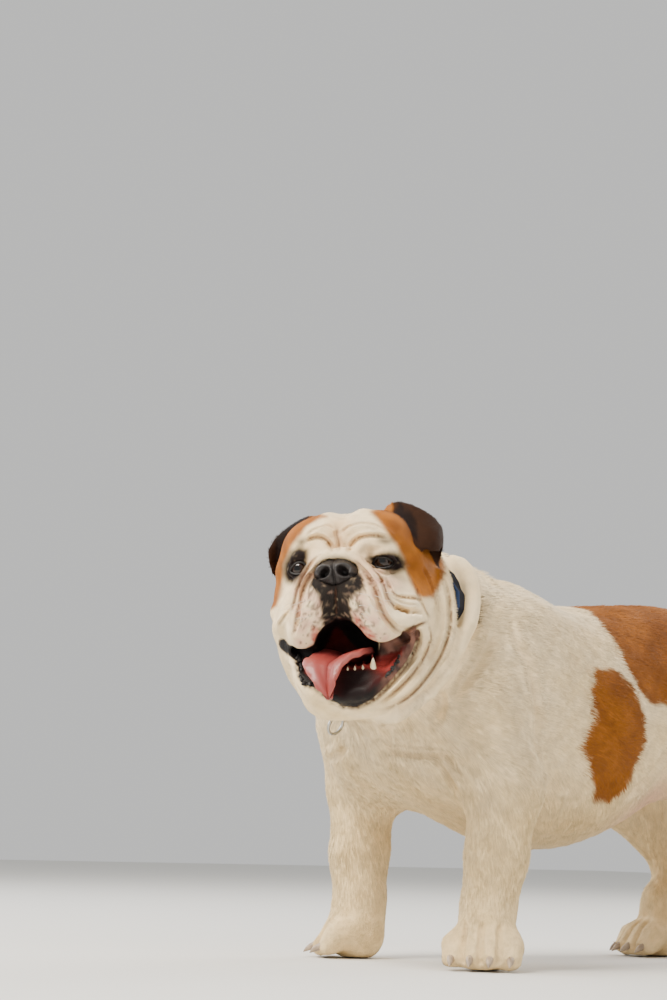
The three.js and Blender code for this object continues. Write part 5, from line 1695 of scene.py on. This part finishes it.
bare = np.maximum(bare, under_collar & (face_middles[:, 2] > 0.22) & (face_middles[:, 1] < 0.05))
bare = np.maximum(bare, on_head * ramp(fold_share(face_middles), 0.25, 0.6))
weight = face_area * density * (1 - bare)
picked = chance.choice(len(face_area), size=TUFTS_PER_PIECE * COAT_PIECES, p=weight / weight.sum())
one = chance.random(len(picked))
two = chance.random(len(picked))
flip = one + two > 1
one, two = np.where(flip, 1 - one, one), np.where(flip, 1 - two, two)
shares = np.column_stack([1 - one - two, one, two])[:, :, None]
roots = (skin_points[face_corners[picked]] * shares).sum(axis=1)
root_normals = (skin_normals[face_corners[picked]] * shares).sum(axis=1)
root_normals /= np.linalg.norm(root_normals, axis=1)[:, None]
print("tufts:", len(roots), "over", round(float(face_area.sum()), 2), "square metres")

# %% Build the tufts
way = hair_way(roots, root_normals)
length = hair_length(roots) * MM * chance.uniform(0.75, 1.2, len(roots))
slim = np.clip(length * 0.13, 0.0004, 0.0011) * chance.uniform(0.8, 1.2, len(roots))
lift = np.radians(np.clip(9 + 5 * ripple(roots, 0.03, 31) + chance.normal(0, 3, len(roots)), 3, 24))
across = np.cross(root_normals, way)
tuft_paint, _ = coat_paint(roots)
tuft_paint = tuft_paint * chance.uniform(0.86, 1.1, len(roots))[:, None]
tuft_map = face_map[picked]
TUFT_FACES = np.array([(0, 1, 3), (1, 2, 3), (2, 0, 3), (0, 2, 1)])
PATCH = 0.003


def tuft_piece(name, rows):
    n = len(rows)
    seat = roots[rows] - root_normals[rows] * 0.0003
    wide = across[rows] * slim[rows][:, None] / 2
    run = way[rows] * np.cos(lift[rows])[:, None] + root_normals[rows] * np.sin(lift[rows])[:, None]
    corners = np.empty((n, 4, 3))
    corners[:, 0] = seat - wide
    corners[:, 1] = seat + root_normals[rows] * slim[rows][:, None] * 0.45
    corners[:, 2] = seat + wide
    corners[:, 3] = seat + run * length[rows][:, None]
    faces = (np.arange(n)[:, None, None] * 4 + TUFT_FACES[None]).reshape(-1, 3)
    p = corners[0]
    first, second, third = p[TUFT_FACES[0]]
    volume = np.dot(np.cross(second - first, third - first), first - p.mean(axis=0))
    if volume < 0:
        faces = faces[:, ::-1]
    mesh = bpy.data.meshes.new(name)
    mesh.vertices.add(n * 4)
    mesh.vertices.foreach_set("co", corners.ravel())
    mesh.loops.add(faces.size)
    mesh.loops.foreach_set("vertex_index", faces.ravel().astype(np.int32))
    mesh.polygons.add(len(faces))
    mesh.polygons.foreach_set("loop_start", np.arange(0, faces.size, 3, dtype=np.int32))
    mesh.update()
    mesh.validate()
    # Painted shade at the root corners of each tuft and a slight painted highlight at its tip.
    shade = np.array([0.86, 0.95, 0.86, 1.04])
    paint_attribute(mesh, "coat_paint", (tuft_paint[rows][:, None] * shade[None, :, None]).reshape(-1, 3))
    offsets = np.array([(-0.5, -0.5), (0, 0), (0.5, -0.5), (0, 0.5)]) * PATCH
    bake_map = mesh.uv_layers.new(name="OFBake")
    tuft_corners = (tuft_map[rows][:, None] + offsets[None]).reshape(-1, 2)
    bake_map.data.foreach_set("uv", tuft_corners[faces.ravel()].ravel())
    soft_side = across[rows][:, None] * np.array([-0.45, 0, 0.45, 0])[None, :, None]
    soft_normals = root_normals[rows][:, None] + soft_side + way[rows][:, None] * 0.15
    soft_normals /= np.linalg.norm(soft_normals, axis=2)[:, :, None]
    mesh.polygons.foreach_set("use_smooth", np.ones(len(faces), bool))
    mesh.normals_split_custom_set_from_vertices(soft_normals.reshape(-1, 3))
    piece = bpy.data.objects.new(name, mesh)
    bpy.context.scene.collection.objects.link(piece)
    return settle(piece, coat_finish, "coat_white")


order = np.argsort(roots[:, 1])
for n, rows in enumerate(np.array_split(order, COAT_PIECES)):
    piece = tuft_piece("coat_" + str(n + 1), rows)
print("coat pieces:", COAT_PIECES, "faces each:", len(piece.data.polygons))
